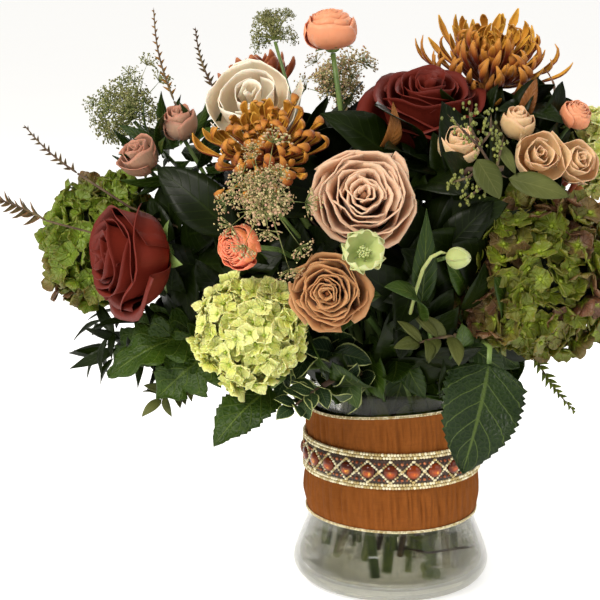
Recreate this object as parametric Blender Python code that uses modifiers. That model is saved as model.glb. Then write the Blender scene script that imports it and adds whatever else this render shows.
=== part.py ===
"""Floral table centerpiece: a mixed autumn bouquet standing in a ribboned glass vase.

Every cut flower, leaf and spray is one solid: its own stem runs from the water, through the
vase's neck, to its head or blade. Run with: blender --background --python part.py
Units are millimetres in the tables and metres in the scene. +Z is up, the origin is the centre
of the vase's underside, and the bouquet's front faces -Y.
"""

import math

import bmesh
import bpy
from mathutils import Matrix, Vector
from mathutils.geometry import interpolate_bezier

MM = 0.001

# The vase: a gathering vase with a flared foot and a straight neck.
VASE_HEIGHT = 145.0
FOOT_RADIUS = 56.0
BELLY_RADIUS = 69.5
BELLY_HEIGHT = 16.0
NECK_RADIUS = 57.6
LIP_RADIUS = 58.6
GLASS_WALL = 3.4
GLASS_FLOOR = 8.5
VASE_SEGMENTS = 40

# The ribbon and the jewelled trim wrapped around the neck.
RIBBON_LOW = 50.0
RIBBON_HIGH = 130.5
RIBBON_THICK = 1.2
TRIM_LOW = 81.0
TRIM_HIGH = 106.0
TRIM_THICK = 0.8
BRAID_HEIGHT = 4.2
BRAID_THICK = 1.5
FIT_GAP = 0.4

# The stems: rings of slots in the vase's neck, and the turn that they make on the way down.
RING_RADII = (12.0, 23.0, 34.5, 46.0)
RING_FOOT_RADII = (31.0, 37.5, 44.0, 50.0)
RING_FOOT_HEIGHTS = (34.0, 33.0, 32.0, 44.0)
THICK_STEM = 3.5
THICK_STEM_FOOT_HEIGHT = 14.0
NECK_HEIGHT = 138.0
STEM_TURN = math.radians(22)
REACH = 0.42
STEM_POINTS = 7

# A head's outline: (share of its height, share of its radius), from its base to its top.
CUP = ((0.0, 0.20), (0.14, 0.62), (0.38, 0.95), (0.62, 1.0), (0.85, 0.80), (1.0, 0.42))
GLOBE = ((0.0, 0.14), (0.10, 0.60), (0.30, 0.93), (0.52, 1.0), (0.76, 0.85), (0.93, 0.50), (1.0, 0.22))
DAISY = ((0.0, 0.16), (0.24, 0.55), (0.52, 0.98), (0.74, 0.95), (1.0, 0.48))
PLATE = ((0.0, 0.10), (0.50, 0.72), (0.74, 1.0), (0.90, 0.86), (1.0, 0.40))
BIG_HEAD = 25.0

# Colours, as linear red, green and blue.
BRICK = (0.16, 0.020, 0.016)
DUSTY = (0.55, 0.34, 0.27)
CARAMEL = (0.52, 0.27, 0.12)
CREAM = (0.72, 0.60, 0.46)
PEACH = (0.66, 0.36, 0.18)
CORAL = (0.66, 0.16, 0.07)
GOLD = (0.50, 0.24, 0.04)
LIME = (0.52, 0.60, 0.22)
ANTIQUE = (0.16, 0.19, 0.05)
LACE = (0.33, 0.27, 0.14)
APPLE = (0.30, 0.38, 0.12)
DARK_LEAF = (0.025, 0.06, 0.025)
LEAF = (0.06, 0.13, 0.03)
SAGE = (0.14, 0.20, 0.11)
FROND = (0.16, 0.12, 0.06)
COPPER = (0.30, 0.10, 0.03)

# name: (head's centre, radius, height, facing, outline, ring in the neck, stem radius, colour)
FLOWERS = {
    "rose_red_left": ((-178, -64, 241), 38, 56, (-0.60, -0.75, 0.10), CUP, 3, 3.0, BRICK),
    "rose_red_top": ((22, 6, 332), 37, 58, (0.05, -0.30, 0.92), CUP, 0, 3.0, BRICK),
    "rose_taupe": ((-25, -100, 285), 34, 42, (0.0, -0.93, 0.35), CUP, 2, 2.8, DUSTY),
    "rose_caramel": ((-47, -134, 232), 27, 36, (-0.10, -0.97, 0.12), CUP, 3, 2.5, CARAMEL),
    "rose_cream": ((-97, 2, 335), 27, 38, (-0.10, -0.60, 0.75), CUP, 1, 2.5, CREAM),
    "mum_front": ((-87, -60, 308), 42, 40, (-0.15, -0.75, 0.62), DAISY, 2, 2.4, GOLD),
    "mum_top": ((70, 58, 362), 46, 44, (0.15, -0.20, 0.95), DAISY, 1, 2.4, GOLD),
    "mum_bronze": ((-94, 74, 342), 28, 30, (-0.25, 0.10, 0.95), DAISY, 1, 2.2, COPPER),
    "hydrangea_lime": ((-98, -98, 199), 35, 60, (-0.35, -0.93, 0.05), GLOBE, 3, 3.6, LIME),
    "hydrangea_antique": ((92, -50, 226), 57, 92, (0.50, -0.85, 0.15), GLOBE, 2, 3.8, ANTIQUE),
    "hydrangea_lime_right": ((140, 36, 300), 33, 54, (0.60, 0.0, 0.80), GLOBE, 2, 3.4, LIME),
    "hydrangea_left": ((-205, 18, 238), 46, 76, (-0.90, 0.05, 0.30), GLOBE, 3, 3.6, ANTIQUE),
    "ranunculus_top": ((-44, 4, 385), 21, 28, (-0.10, -0.10, 1.0), CUP, 0, 1.8, CORAL),
    "ranunculus_left": ((-103, -124, 258), 15, 22, (-0.60, -0.80, 0.10), CUP, 2, 1.6, CORAL),
    "ranunculus_right": ((122, -4, 328), 13, 18, (0.40, -0.40, 0.80), CUP, 1, 1.6, CORAL),
    "ranunculus_edge": ((158, -12, 262), 15, 22, (0.85, -0.45, 0.10), CUP, 2, 1.6, CORAL),
    "umbel_front": ((-88, -134, 293), 26, 18, (-0.25, -0.85, 0.45), PLATE, 2, 1.2, LACE),
    "umbel_upper": ((-38, 48, 345), 30, 22, (0.0, -0.25, 0.95), PLATE, 0, 1.4, LACE),
    "umbel_top": ((-84, 40, 384), 20, 16, (-0.20, 0.0, 1.0), PLATE, 1, 1.2, LACE),
    "umbel_left": ((-188, 40, 330), 31, 22, (-0.50, -0.10, 0.85), PLATE, 2, 1.4, LACE),
    "hellebore_open": ((-26, -138, 258), 13, 12, (0.10, -0.90, 0.40), PLATE, 2, 1.2, APPLE),
    "hellebore_bud": ((30, -118, 250), 7, 15, (0.30, -0.80, 0.10), CUP, 2, 1.2, APPLE),
    "spray_rose_peach": ((38, -46, 312), 14, 24, (0.10, -0.60, 0.80), CUP, 1, 1.5, PEACH),
    "spray_rose_bud": ((80, -20, 324), 11, 22, (0.10, -0.40, 0.90), CUP, 0, 1.4, PEACH),
    "spray_rose_tan": ((92, -40, 304), 14, 20, (0.20, -0.85, 0.45), CUP, 1, 1.5, PEACH),
    "spray_rose_edge": ((118, -30, 299), 14, 20, (0.50, -0.75, 0.45), CUP, 2, 1.5, PEACH),
    "spray_rose_pink": ((-173, -8, 300), 15, 24, (-0.40, -0.50, 0.75), CUP, 2, 1.5, DUSTY),
    "spray_rose_beige": ((-146, -2, 322), 14, 24, (-0.20, -0.40, 0.90), CUP, 2, 1.5, DUSTY),
    "rose_red_back": ((66, 104, 290), 36, 54, (0.35, 0.75, 0.55), CUP, 2, 3.0, BRICK),
    "rose_taupe_back": ((-20, 104, 300), 32, 42, (-0.05, 0.75, 0.65), CUP, 1, 2.6, DUSTY),
    "rose_caramel_side": ((166, 34, 232), 26, 38, (0.92, 0.20, 0.25), CUP, 3, 2.4, CARAMEL),
    "hydrangea_green_back": ((-92, 100, 238), 50, 80, (-0.45, 0.85, 0.25), GLOBE, 3, 3.8, ANTIQUE),
    "hydrangea_lime_back": ((26, 122, 208), 36, 60, (0.10, 0.95, 0.10), GLOBE, 3, 3.4, LIME),
    "mum_back": ((124, 100, 236), 40, 40, (0.70, 0.65, 0.30), DAISY, 3, 2.4, GOLD),
}

# name: (blade's base, its tip, width, the way its face looks, ring in the neck, colour)
LEAVES = {
    "leaf_glossy_left": ((-106, -66, 256), (-158, -50, 298), 34, (-0.3, -0.8, 0.5), 3, DARK_LEAF),
    "leaf_centre_tall": ((12, -100, 216), (14, -108, 280), 16, (0.1, -1.0, 0.1), 2, LEAF),
    "leaf_centre_dark": ((24, -62, 232), (38, -74, 292), 22, (0.2, -0.9, 0.3), 2, DARK_LEAF),
    "leaf_centre_low": ((12, -108, 208), (-14, -148, 238), 22, (0.3, -0.5, 0.8), 3, LEAF),
    "hydrangea_leaf_right": ((56, -100, 178), (38, -122, 112), 58, (0.1, -0.95, 0.25), 3, DARK_LEAF),
    "hydrangea_leaf_left": ((-84, -82, 158), (-120, -108, 126), 38, (-0.2, -0.8, 0.5), 3, DARK_LEAF),
    "oak_leaf_left": ((-128, -46, 188), (-192, -62, 160), 50, (-0.2, -0.6, 0.8), 3, LEAF),
    "frond_left_low": ((-232, -46, 262), (-276, -60, 282), 20, (0.0, -0.5, 0.9), 3, FROND),
    "frond_left_high": ((-214, -20, 290), (-250, -14, 322), 18, (0.0, -0.8, 0.5), 2, FROND),
    "frond_tall_left": ((-152, 28, 334), (-166, 38, 398), 14, (0.0, -1.0, 0.2), 2, FROND),
    "frond_tall_right": ((-124, 38, 340), (-138, 50, 384), 14, (0.0, -1.0, 0.2), 0, FROND),
    "fern_right": ((94, -24, 168), (122, -44, 130), 15, (0.3, -0.8, 0.5), 3, LEAF),
    "olive_leaf_right": ((128, -14, 180), (184, -34, 160), 20, (0.0, -0.6, 0.8), 3, LEAF),
    "eucalyptus_left": ((-132, -30, 160), (-168, -60, 134), 26, (-0.2, -0.8, 0.4), 3, SAGE),
    "eucalyptus_centre": ((34, -98, 196), (-4, -128, 196), 18, (0.1, -0.8, 0.6), 3, SAGE),
    "eucalyptus_seeded": ((66, -70, 300), (104, -80, 290), 22, (0.2, -0.9, 0.4), 2, SAGE),
    "pittosporum_low": ((-50, -86, 160), (-78, -112, 146), 30, (0.0, -0.7, 0.7), 3, LEAF),
    "copper_leaf": ((-14, -30, 304), (-4, -42, 340), 20, (0.2, -0.9, 0.2), 1, COPPER),
    "leaf_back_left": ((-150, 60, 196), (-212, 84, 190), 42, (-0.2, 0.4, 0.9), 3, DARK_LEAF),
    "leaf_back_low": ((-26, 104, 158), (-40, 146, 122), 40, (0.0, 0.9, 0.5), 3, DARK_LEAF),
    "leaf_back_right": ((88, 84, 170), (132, 118, 134), 42, (0.4, 0.8, 0.5), 3, LEAF),
}
STALK_HALF_WIDTH = 1.6
TIP_HALF_WIDTH = 1.2
BLADE_THICK = 1.4
BLADE_ROWS = 6
BLADE_FOLD = 0.14

for old in list(bpy.data.objects):
    bpy.data.objects.remove(old, do_unlink=True)
piece_collection = bpy.data.collections.new("floral_table_centerpiece")
bpy.context.scene.collection.children.link(piece_collection)


def finish_of(name, colour, roughness, alpha=1.0):
    """A Principled material for one piece."""
    material = bpy.data.materials.new(name)
    material.use_nodes = True
    shader = material.node_tree.nodes["Principled BSDF"]
    shader.inputs["Base Color"].default_value = (*colour, 1.0)
    shader.inputs["Roughness"].default_value = roughness
    shader.inputs["Metallic"].default_value = 0.0
    shader.inputs["Alpha"].default_value = alpha
    return material


def add_piece(name, data, material):
    """Links a mesh or a curve as one named piece of the centerpiece."""
    data.materials.append(material)
    piece = bpy.data.objects.new(name, data)
    piece_collection.objects.link(piece)
    return piece


def turned(name, profile, material, segments=VASE_SEGMENTS):
    """A piece turned about Z from a closed (radius, height) outline, given down its outer side first."""
    outline = bmesh.new()
    corners = [outline.verts.new((radius * MM, 0.0, height * MM)) for radius, height in profile]
    for first, second in zip(corners, corners[1:] + corners[:1]):
        if first.co.x > 0 or second.co.x > 0:
            outline.edges.new((first, second))
    mesh = bpy.data.meshes.new(name)
    outline.to_mesh(mesh)
    outline.free()
    piece = add_piece(name, mesh, material)
    screw = piece.modifiers.new("turn", "SCREW")
    screw.steps = segments
    screw.render_steps = segments
    screw.use_merge_vertices = True
    screw.merge_threshold = 0.0001
    screw.use_smooth_shade = True
    return piece


def glass_vase():
    """The flared glass vase: a thick floor, a rounded belly and a straight neck with a soft lip."""
    outer = [
        (LIP_RADIUS - 1.4, VASE_HEIGHT),
        (LIP_RADIUS, VASE_HEIGHT - 1.4),
        (NECK_RADIUS, VASE_HEIGHT - 9.0),
        (NECK_RADIUS, RIBBON_LOW + 1.0),
        (NECK_RADIUS + 2.6, RIBBON_LOW - 9.0),
        (NECK_RADIUS + 7.2, RIBBON_LOW - 20.0),
        (BELLY_RADIUS - 0.8, BELLY_HEIGHT + 5.0),
        (BELLY_RADIUS, BELLY_HEIGHT),
        (BELLY_RADIUS - 1.3, BELLY_HEIGHT - 6.0),
        (BELLY_RADIUS - 5.0, 4.0),
        (FOOT_RADIUS + 3.0, 0.8),
        (FOOT_RADIUS, 0.0),
        (0.0, 0.0),
    ]
    inner = [
        (0.0, GLASS_FLOOR),
        (FOOT_RADIUS, GLASS_FLOOR),
        (BELLY_RADIUS - GLASS_WALL - 2.4, GLASS_FLOOR + 4.0),
        (BELLY_RADIUS - GLASS_WALL, BELLY_HEIGHT + 1.0),
        (BELLY_RADIUS - GLASS_WALL - 0.8, BELLY_HEIGHT + 5.5),
        (NECK_RADIUS - GLASS_WALL + 6.8, RIBBON_LOW - 20.0),
        (NECK_RADIUS - GLASS_WALL + 2.4, RIBBON_LOW - 9.0),
        (NECK_RADIUS - GLASS_WALL, RIBBON_LOW + 1.0),
        (NECK_RADIUS - GLASS_WALL, VASE_HEIGHT - 9.0),
        (LIP_RADIUS - GLASS_WALL, VASE_HEIGHT - 1.4),
        (LIP_RADIUS - 2.2, VASE_HEIGHT),
    ]
    return turned("glass_vase", outer + inner, finish_of("glass", (0.85, 0.9, 0.88), 0.03, 0.3))


def sleeve(name, inner_radius, thickness, low, high, material, bulge=0.0):
    """A short sleeve around the neck, its middle standing out by the bulge."""
    outer_radius = inner_radius + thickness
    middle = (low + high) / 2
    profile = [
        (outer_radius, high),
        (outer_radius + bulge, middle),
        (outer_radius, low),
        (inner_radius, low),
        (inner_radius, high),
    ]
    return turned(name, profile, material)


def wrapping():
    """The ruched ribbon, the jewelled tape over its middle, and the two braids that edge the tape."""
    ribbon_inner = NECK_RADIUS + FIT_GAP
    sleeve("ribbon_wrap", ribbon_inner, RIBBON_THICK, RIBBON_LOW + 2, RIBBON_HIGH,
           finish_of("ribbon", (0.35, 0.095, 0.014), 0.8))
    tape_inner = ribbon_inner + RIBBON_THICK + FIT_GAP
    sleeve("trim_tape", tape_inner, TRIM_THICK, TRIM_LOW + BRAID_HEIGHT + FIT_GAP,
           TRIM_HIGH - BRAID_HEIGHT - FIT_GAP, finish_of("tape", (0.05, 0.025, 0.022), 0.7))
    gold = finish_of("braid", (0.60, 0.50, 0.22), 0.4)
    sleeve("braid_lower", tape_inner, BRAID_THICK, TRIM_LOW, TRIM_LOW + BRAID_HEIGHT, gold, 0.3)
    sleeve("braid_upper", tape_inner, BRAID_THICK, TRIM_HIGH - BRAID_HEIGHT, TRIM_HIGH, gold, 0.3)


def compass(point):
    """The direction of a point around the Z axis."""
    return math.atan2(point[1], point[0])


def neck_slots():
    """The angle of each stem in the neck: stems of one ring stand evenly, in their heads' order."""
    wanted = {}
    for name, (centre, _, height, facing, _, ring, _, _) in FLOWERS.items():
        base = Vector(centre) - Vector(facing).normalized() * height / 2
        wanted.setdefault(ring, []).append((compass(base), name))
    for name, (base, _, _, _, ring, _) in LEAVES.items():
        wanted.setdefault(ring, []).append((compass(base), name))
    slots = {}
    for ring, pieces in wanted.items():
        pieces.sort()
        step = 2 * math.pi / len(pieces)
        offsets = [angle - index * step for index, (angle, _) in enumerate(pieces)]
        start = sum(offsets) / len(offsets)
        for index, (_, name) in enumerate(pieces):
            slots[name] = (ring, start + index * step)
    return slots


def on_ring(radius, angle, height):
    """A point on a level circle around the Z axis."""
    return Vector((radius * math.cos(angle), radius * math.sin(angle), height))


def stem_route(slot, end, heading, radius):
    """Points from a stem's cut foot, up through the neck, to its end, where it runs along heading."""
    ring, angle = slot
    foot_height = THICK_STEM_FOOT_HEIGHT if radius >= THICK_STEM else RING_FOOT_HEIGHTS[ring]
    foot = on_ring(RING_FOOT_RADII[ring], angle + STEM_TURN, foot_height)
    neck = on_ring(RING_RADII[ring], angle, NECK_HEIGHT)
    climb = (neck - foot).normalized()
    reach = (end - neck).length * REACH
    bend = interpolate_bezier(
        neck, neck + climb * reach, end - heading * reach * 0.8, end, STEM_POINTS
    )
    return [foot, (foot + neck) / 2] + [Vector(point) for point in bend]


def flower(name, slot):
    """A cut flower: one swept solid whose section grows from the stem to the head's outline."""
    centre, radius, height, facing, outline, _, stem_radius, colour = FLOWERS[name]
    heading = Vector(facing).normalized()
    base = Vector(centre) - heading * height / 2
    route = stem_route(slot, base - heading * stem_radius * 1.5, heading, stem_radius)
    rings = [(point, stem_radius) for point in route]
    rings += [(base + heading * height * rise, radius * spread) for rise, spread in outline]
    curve = bpy.data.curves.new(name, "CURVE")
    curve.dimensions = "3D"
    curve.bevel_depth = MM
    curve.bevel_resolution = 3 if radius >= BIG_HEAD else 2
    curve.use_fill_caps = True
    sweep = curve.splines.new("POLY")
    sweep.points.add(len(rings) - 1)
    for point, (place, size) in zip(sweep.points, rings):
        point.co = (*(place * MM), 1.0)
        point.radius = size
    return add_piece(name, curve, finish_of(name, colour, 0.7))


def leaf(name, slot):
    """A cut leaf: a grid laid along its stalk and blade, folded at the midrib, with its own thickness."""
    base, tip, width, face, _, colour = LEAVES[name]
    base, tip = Vector(base), Vector(tip)
    heading = (tip - base).normalized()
    stalk = stem_route(slot, base, heading, STALK_HALF_WIDTH)
    blade = [base.lerp(tip, row / BLADE_ROWS) for row in range(1, BLADE_ROWS + 1)]
    route = stalk + blade
    halves = [STALK_HALF_WIDTH] * len(stalk)
    for row in range(1, BLADE_ROWS + 1):
        share = row / BLADE_ROWS
        halves.append(max(TIP_HALF_WIDTH, width / 2 * math.sin(math.pi * share ** 0.8) ** 0.8))
    grid = bmesh.new()
    bmesh.ops.create_grid(grid, x_segments=len(route) - 1, y_segments=2, size=1.0)
    for vertex in grid.verts:
        row = round((vertex.co.x + 1) / 2 * (len(route) - 1))
        across = vertex.co.y
        before = route[max(row - 1, 0)]
        after = route[min(row + 1, len(route) - 1)]
        run = (after - before).normalized()
        side = run.cross(Vector(face)).normalized()
        normal = side.cross(run)
        lift = normal * abs(across) * halves[row] * BLADE_FOLD
        vertex.co = (route[row] + side * across * halves[row] + lift) * MM
    mesh = bpy.data.meshes.new(name)
    grid.to_mesh(mesh)
    grid.free()
    piece = add_piece(name, mesh, finish_of(name, colour, 0.5))
    wall = piece.modifiers.new("thickness", "SOLIDIFY")
    wall.thickness = BLADE_THICK * MM
    wall.offset = 0.0
    return piece


glass_vase()
wrapping()
slots = neck_slots()
for flower_name in FLOWERS:
    flower(flower_name, slots[flower_name])
for leaf_name in LEAVES:
    leaf(leaf_name, slots[leaf_name])
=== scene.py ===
# %% [markdown]
# A floral table centerpiece: an autumn bouquet in a glass gathering vase wrapped with a ruched
# rust ribbon and a jewelled trim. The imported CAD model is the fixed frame. It gives every flower
# and leaf its place, its size and its stem, and each one is dressed here with its real petals.

# %% Load the frame
import math
import random

import bmesh
import bpy
from mathutils import Matrix, Vector, noise


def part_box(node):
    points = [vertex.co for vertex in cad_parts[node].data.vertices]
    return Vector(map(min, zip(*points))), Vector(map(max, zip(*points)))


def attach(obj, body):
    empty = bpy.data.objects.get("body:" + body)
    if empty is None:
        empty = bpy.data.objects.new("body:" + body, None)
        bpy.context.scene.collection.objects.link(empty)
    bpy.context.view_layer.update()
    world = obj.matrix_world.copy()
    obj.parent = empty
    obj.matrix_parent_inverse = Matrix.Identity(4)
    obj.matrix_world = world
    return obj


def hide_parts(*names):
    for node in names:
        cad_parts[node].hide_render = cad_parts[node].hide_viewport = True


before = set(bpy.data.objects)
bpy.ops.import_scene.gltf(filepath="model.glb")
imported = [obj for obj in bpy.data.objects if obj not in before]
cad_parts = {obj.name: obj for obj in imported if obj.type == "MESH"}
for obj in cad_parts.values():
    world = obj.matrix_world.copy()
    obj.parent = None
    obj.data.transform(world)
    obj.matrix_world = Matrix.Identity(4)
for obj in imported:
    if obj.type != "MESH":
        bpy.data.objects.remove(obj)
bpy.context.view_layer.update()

MM = 0.001
TAU = 2 * math.pi
GOLDEN_TURN = math.radians(137.508)
UP = Vector((0, 0, 1))

# %% [markdown]
# The camera stands a little above the table and looks slightly down into the bouquet, as a guest
# at the next chair does. It comes first, so that every piece can be judged from it.

# %% Camera
CAMERA_PLACE = (-0.0647, -1.150, 0.440)
CAMERA_DIP = math.radians(11.836)
lens = bpy.data.cameras.new("camera")
lens.lens = 101.58
lens.sensor_width = 36.0
camera = bpy.data.objects.new("camera", lens)
camera.location = CAMERA_PLACE
camera.rotation_euler = (math.pi / 2 - CAMERA_DIP, 0, 0)
bpy.context.scene.collection.objects.link(camera)
bpy.context.scene.camera = camera
print("camera", lens.lens, "mm lens, tilted down", round(math.degrees(CAMERA_DIP), 1), "degrees")

# %% [markdown]
# A shader is easier to read as sums than as a list of nodes. A Field stands for one socket:
# adding or multiplying Fields adds the Math nodes. A Finish is one material, with a single
# method that makes any other node.


# %% Shader expressions
class Field:
    """A shader socket that takes part in Python expressions."""

    def __init__(self, finish, socket):
        self.finish, self.socket = finish, socket

    def math(self, operation, *values, first=None):
        """A Math node on this field, or on another first value where the operator is reflected."""
        inputs = [self, *values] if first is None else [first, self]
        return self.finish.node("ShaderNodeMath", {"operation": operation}, dict(enumerate(inputs)))

    def __add__(self, other): return self.math("ADD", other)
    def __sub__(self, other): return self.math("SUBTRACT", other)
    def __mul__(self, other): return self.math("MULTIPLY", other)
    def __rsub__(self, other): return self.math("SUBTRACT", first=other)
    def __abs__(self): return self.math("ABSOLUTE")
    __radd__ = __add__
    __rmul__ = __mul__

    def fraction(self): return self.math("FRACT")
    def sine(self): return self.math("SINE")
    def larger(self, other): return self.math("MAXIMUM", other)

    def rise(self, start, end):
        """0 up to start, 1 from end, and a smooth step between them."""
        return self.finish.node(
            "ShaderNodeMapRange", {"interpolation_type": "SMOOTHSTEP"},
            {"Value": self, "From Min": start, "From Max": end})


class Finish:
    """One material: constants on its shader's own sockets, and nodes for what varies."""

    def __init__(self, name, **constants):
        self.material = bpy.data.materials.new(name)
        self.material.use_nodes = True
        self.tree = self.material.node_tree
        self.shader = self.tree.nodes["Principled BSDF"]
        for socket, value in constants.items():
            self.shader.inputs[socket.replace("_", " ")].default_value = value

    def node(self, kind, settings=None, inputs=None, output=0):
        made = self.tree.nodes.new(kind)
        for key, value in (settings or {}).items():
            setattr(made, key, value)
        for socket, value in (inputs or {}).items():
            if isinstance(value, Field):
                self.tree.links.new(value.socket, made.inputs[socket])
            else:
                made.inputs[socket].default_value = value
        return Field(self, made.outputs[output])

    def feed(self, socket, field):
        self.tree.links.new(field.socket, self.shader.inputs[socket])

    def value(self, name):
        """A number stored on the mesh, such as how far along its petal a point is."""
        return self.node("ShaderNodeAttribute", {"attribute_name": name}, output=2)

    def place(self):
        return self.node("ShaderNodeTexCoord", output=3)

    def vector(self, x, y, z):
        return self.node("ShaderNodeCombineXYZ", inputs={0: x, 1: y, 2: z})

    def noise(self, vector, scale, detail=3.0):
        return self.node("ShaderNodeTexNoise", inputs={
            "Vector": vector, "Scale": scale, "Detail": detail})

    def mix(self, factor, *colours):
        """Two colours, each a field or three numbers from 0 to 255, mixed by a factor from 0 to 1."""
        first, second = (paint(*c) if isinstance(c, tuple) else c for c in colours)
        return self.node("ShaderNodeMix", {"data_type": "RGBA"}, {0: factor, 6: first, 7: second}, 2)

    def bump(self, height, distance):
        self.feed("Normal", self.node("ShaderNodeBump", inputs={"Height": height, "Distance": distance}))


def paint(red, green, blue):
    """A colour mixed as a paint chart gives it, 0 to 255, turned to the linear values of light."""
    def linear(part):
        part /= 255
        return part / 12.92 if part <= 0.04045 else ((part + 0.055) / 1.055) ** 2.4
    return (linear(red), linear(green), linear(blue), 1.0)


def two_tone(name, first, second, scale=None, detail=3.0, band=None, grain=None, **constants):
    """Two colours mixed by noise, or else by each part's own tone, and a grain of (scale, depth)."""
    finish = Finish(name, **constants)
    share = finish.noise(finish.place(), scale, detail) if scale else finish.value("tone")
    finish.feed("Base Color", finish.mix(share.rise(*band) if band else share, first, second))
    if grain:
        finish.bump(finish.noise(finish.place(), grain[0], detail), grain[1])
    return finish


print("paint(128, 128, 128) is", [round(c, 3) for c in paint(128, 128, 128)])

# %% [markdown]
# Petals, sepals and leaves are all thin sheets. Each starts as a grid whose points are moved by a
# formula of two numbers: how far along the sheet a point is, and how far across. Both numbers
# stay on the mesh, with one random tone for each sheet, so that a material can follow the petal.


# %% Sheets and pieces
LAYERS = ("along", "across", "tone")


def point(x, y, z):
    """A place given in millimetres."""
    return Vector((x, y, z)) * MM


def polar(out, turn, up):
    """A place given by how far out it is from the axis, which way, and how high."""
    return Vector((out * math.cos(turn), out * math.sin(turn), up))


def scatter(chance, spread):
    """A random vector, each of its parts between -spread and spread."""
    return Vector([chance.uniform(-spread, spread) for _ in range(3)])


def turn_to(way):
    """The turn that brings Z to point along a way."""
    return way.to_track_quat("Z", "Y").to_matrix().to_4x4()


def axes(reach, face):
    """Three unit vectors of a leaf: along its reach, to its side, and up from its face."""
    run = reach.normalized()
    side = run.cross(face).normalized()
    return run, side, side.cross(run)


def faces_of(verts):
    return {face for vert in verts for face in vert.link_faces}


class Bouquet:
    """One mesh in the making, with its three number layers."""

    def __init__(self):
        self.mesh = bmesh.new()
        self.layers = [self.mesh.verts.layers.float.new(name) for name in LAYERS]

    def mark(self, verts, tone, along=None):
        along_layer, _, tone_layer = self.layers
        for vert in verts:
            vert[tone_layer] = tone
            if along is not None:
                vert[along_layer] = along

    def sheet(self, rows, columns, formula, tone=0.5, material=0):
        """A grid bent by a formula of (along 0 to 1, across -1 to 1)."""
        made = bmesh.ops.create_grid(self.mesh, x_segments=rows, y_segments=columns, size=1.0)
        along_layer, across_layer, tone_layer = self.layers
        for vert in made["verts"]:
            along, across = (vert.co.x + 1) / 2, vert.co.y
            vert[along_layer], vert[across_layer], vert[tone_layer] = along, across, tone
            vert.co = formula(along, across)
        if material:
            for face in faces_of(made["verts"]):
                face.material_index = material
        return made["verts"]

    def ball(self, centre, radii, tone=0.5, along=0.5, material=0, subdivisions=2):
        made = bmesh.ops.create_icosphere(self.mesh, subdivisions=subdivisions, radius=1.0)
        for vert in made["verts"]:
            vert.co = Vector(centre) + Vector(c * r for c, r in zip(vert.co, radii))
        self.mark(made["verts"], tone, along)
        for face in faces_of(made["verts"]):
            face.material_index = material
        return made["verts"]

    def tube(self, points, radii, sides=6, tone=0.5, material=0):
        """A round stalk through the points: a sheet rolled up, its seam and its pointed ends merged."""
        last = len(points) - 1
        turns = [(points[min(step + 1, last)] - points[max(step - 1, 0)]).to_track_quat("Z", "Y")
                 for step in range(last + 1)]

        def rolled(along, across):
            step = round(along * last)
            angle = across * math.pi
            spoke = Vector((math.cos(angle), math.sin(angle), 0)) * radii[step]
            return points[step] + turns[step] @ spoke

        made = self.sheet(last, sides, rolled, tone, material)
        faces = list(faces_of(made))
        bmesh.ops.remove_doubles(self.mesh, verts=made, dist=1e-6)
        bmesh.ops.recalc_face_normals(self.mesh, faces=[face for face in faces if face.is_valid])

    def stamp(self, template, matrix, tone=None):
        """A copy of a small finished mesh."""
        start = len(self.mesh.verts)
        self.mesh.from_mesh(template)
        self.mesh.verts.ensure_lookup_table()
        fresh = self.mesh.verts[start:]
        for vert in fresh:
            vert.co = matrix @ vert.co
            if tone is not None:
                vert[self.layers[2]] = tone
        return fresh

    def template(self, name):
        """The mesh so far, as a shape to stamp."""
        mesh = bpy.data.meshes.new(name)
        self.mesh.to_mesh(mesh)
        self.mesh.free()
        return mesh

    def piece(self, name, finishes, slot, nodes=(), matrix=None, thickness=None, inner=0):
        """The finished object, riding on the vase, hiding the CAD nodes it stands for; slot is not used."""
        if matrix is not None:
            bmesh.ops.transform(self.mesh, matrix=matrix, verts=self.mesh.verts)
        for face in self.mesh.faces:
            face.smooth = True
        data = self.template(name)
        for finish in finishes:
            data.materials.append(finish.material)
        piece = bpy.data.objects.new(name, data)
        bpy.context.scene.collection.objects.link(piece)
        if thickness:
            wall = piece.modifiers.new("thickness", "SOLIDIFY")
            wall.thickness = thickness
            wall.offset = 0.0
            wall.material_offset = inner
        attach(piece, "root")
        if nodes:
            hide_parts(*nodes)
        return piece

    def dress(self, node, rows, ending, finishes, slot, matrix=None, thickness=None, inner=0,
              stalk=None, slim=1.0):
        """Stands for a whole cut flower or leaf: its CAD stem, and this mesh as its head or blade."""
        stem_piece(node, rows, slot, stalk or stem_green, slim)
        return self.piece(node + ending, finishes, slot, [node], matrix, thickness, inner)


print("sheet layers:", LAYERS)

# %% [markdown]
# Every cut flower in the frame is one swept solid: its stem first, then a few rings that swell
# into the head. Walking up the solid ring by ring finds the head's base, its axis and its size.
# The same walk finds a leaf's blade. Below the head, the CAD stem itself is copied and kept.


# %% Read heads, blades and stems from the frame
# How many rings of the solid belong to each kind of head, and to a blade.
CUP_ROWS, DISC_ROWS, GLOBE_ROWS, LEAF_ROWS = 6, 5, 7, 6
OUTWARD_LIFT = 0.05


def merged_copy(node):
    solid = bmesh.new()
    solid.from_mesh(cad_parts[node].data)
    bmesh.ops.remove_doubles(solid, verts=solid.verts, dist=1e-5)
    return solid


def rings_of(solid, foot=0.008):
    """The vertices of the solid, ring by ring from its cut foot."""
    low = min(vert.co.z for vert in solid.verts)
    ring = [vert for vert in solid.verts if vert.co.z < low + foot]
    seen, rings = set(ring), []
    while ring:
        rings.append(ring)
        further = []
        for vert in ring:
            for edge in vert.link_edges:
                other = edge.other_vert(vert)
                if other not in seen:
                    seen.add(other)
                    further.append(other)
        ring = further
    return rings


def centre_of(ring):
    return sum((vert.co for vert in ring), Vector()) / len(ring)


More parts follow.
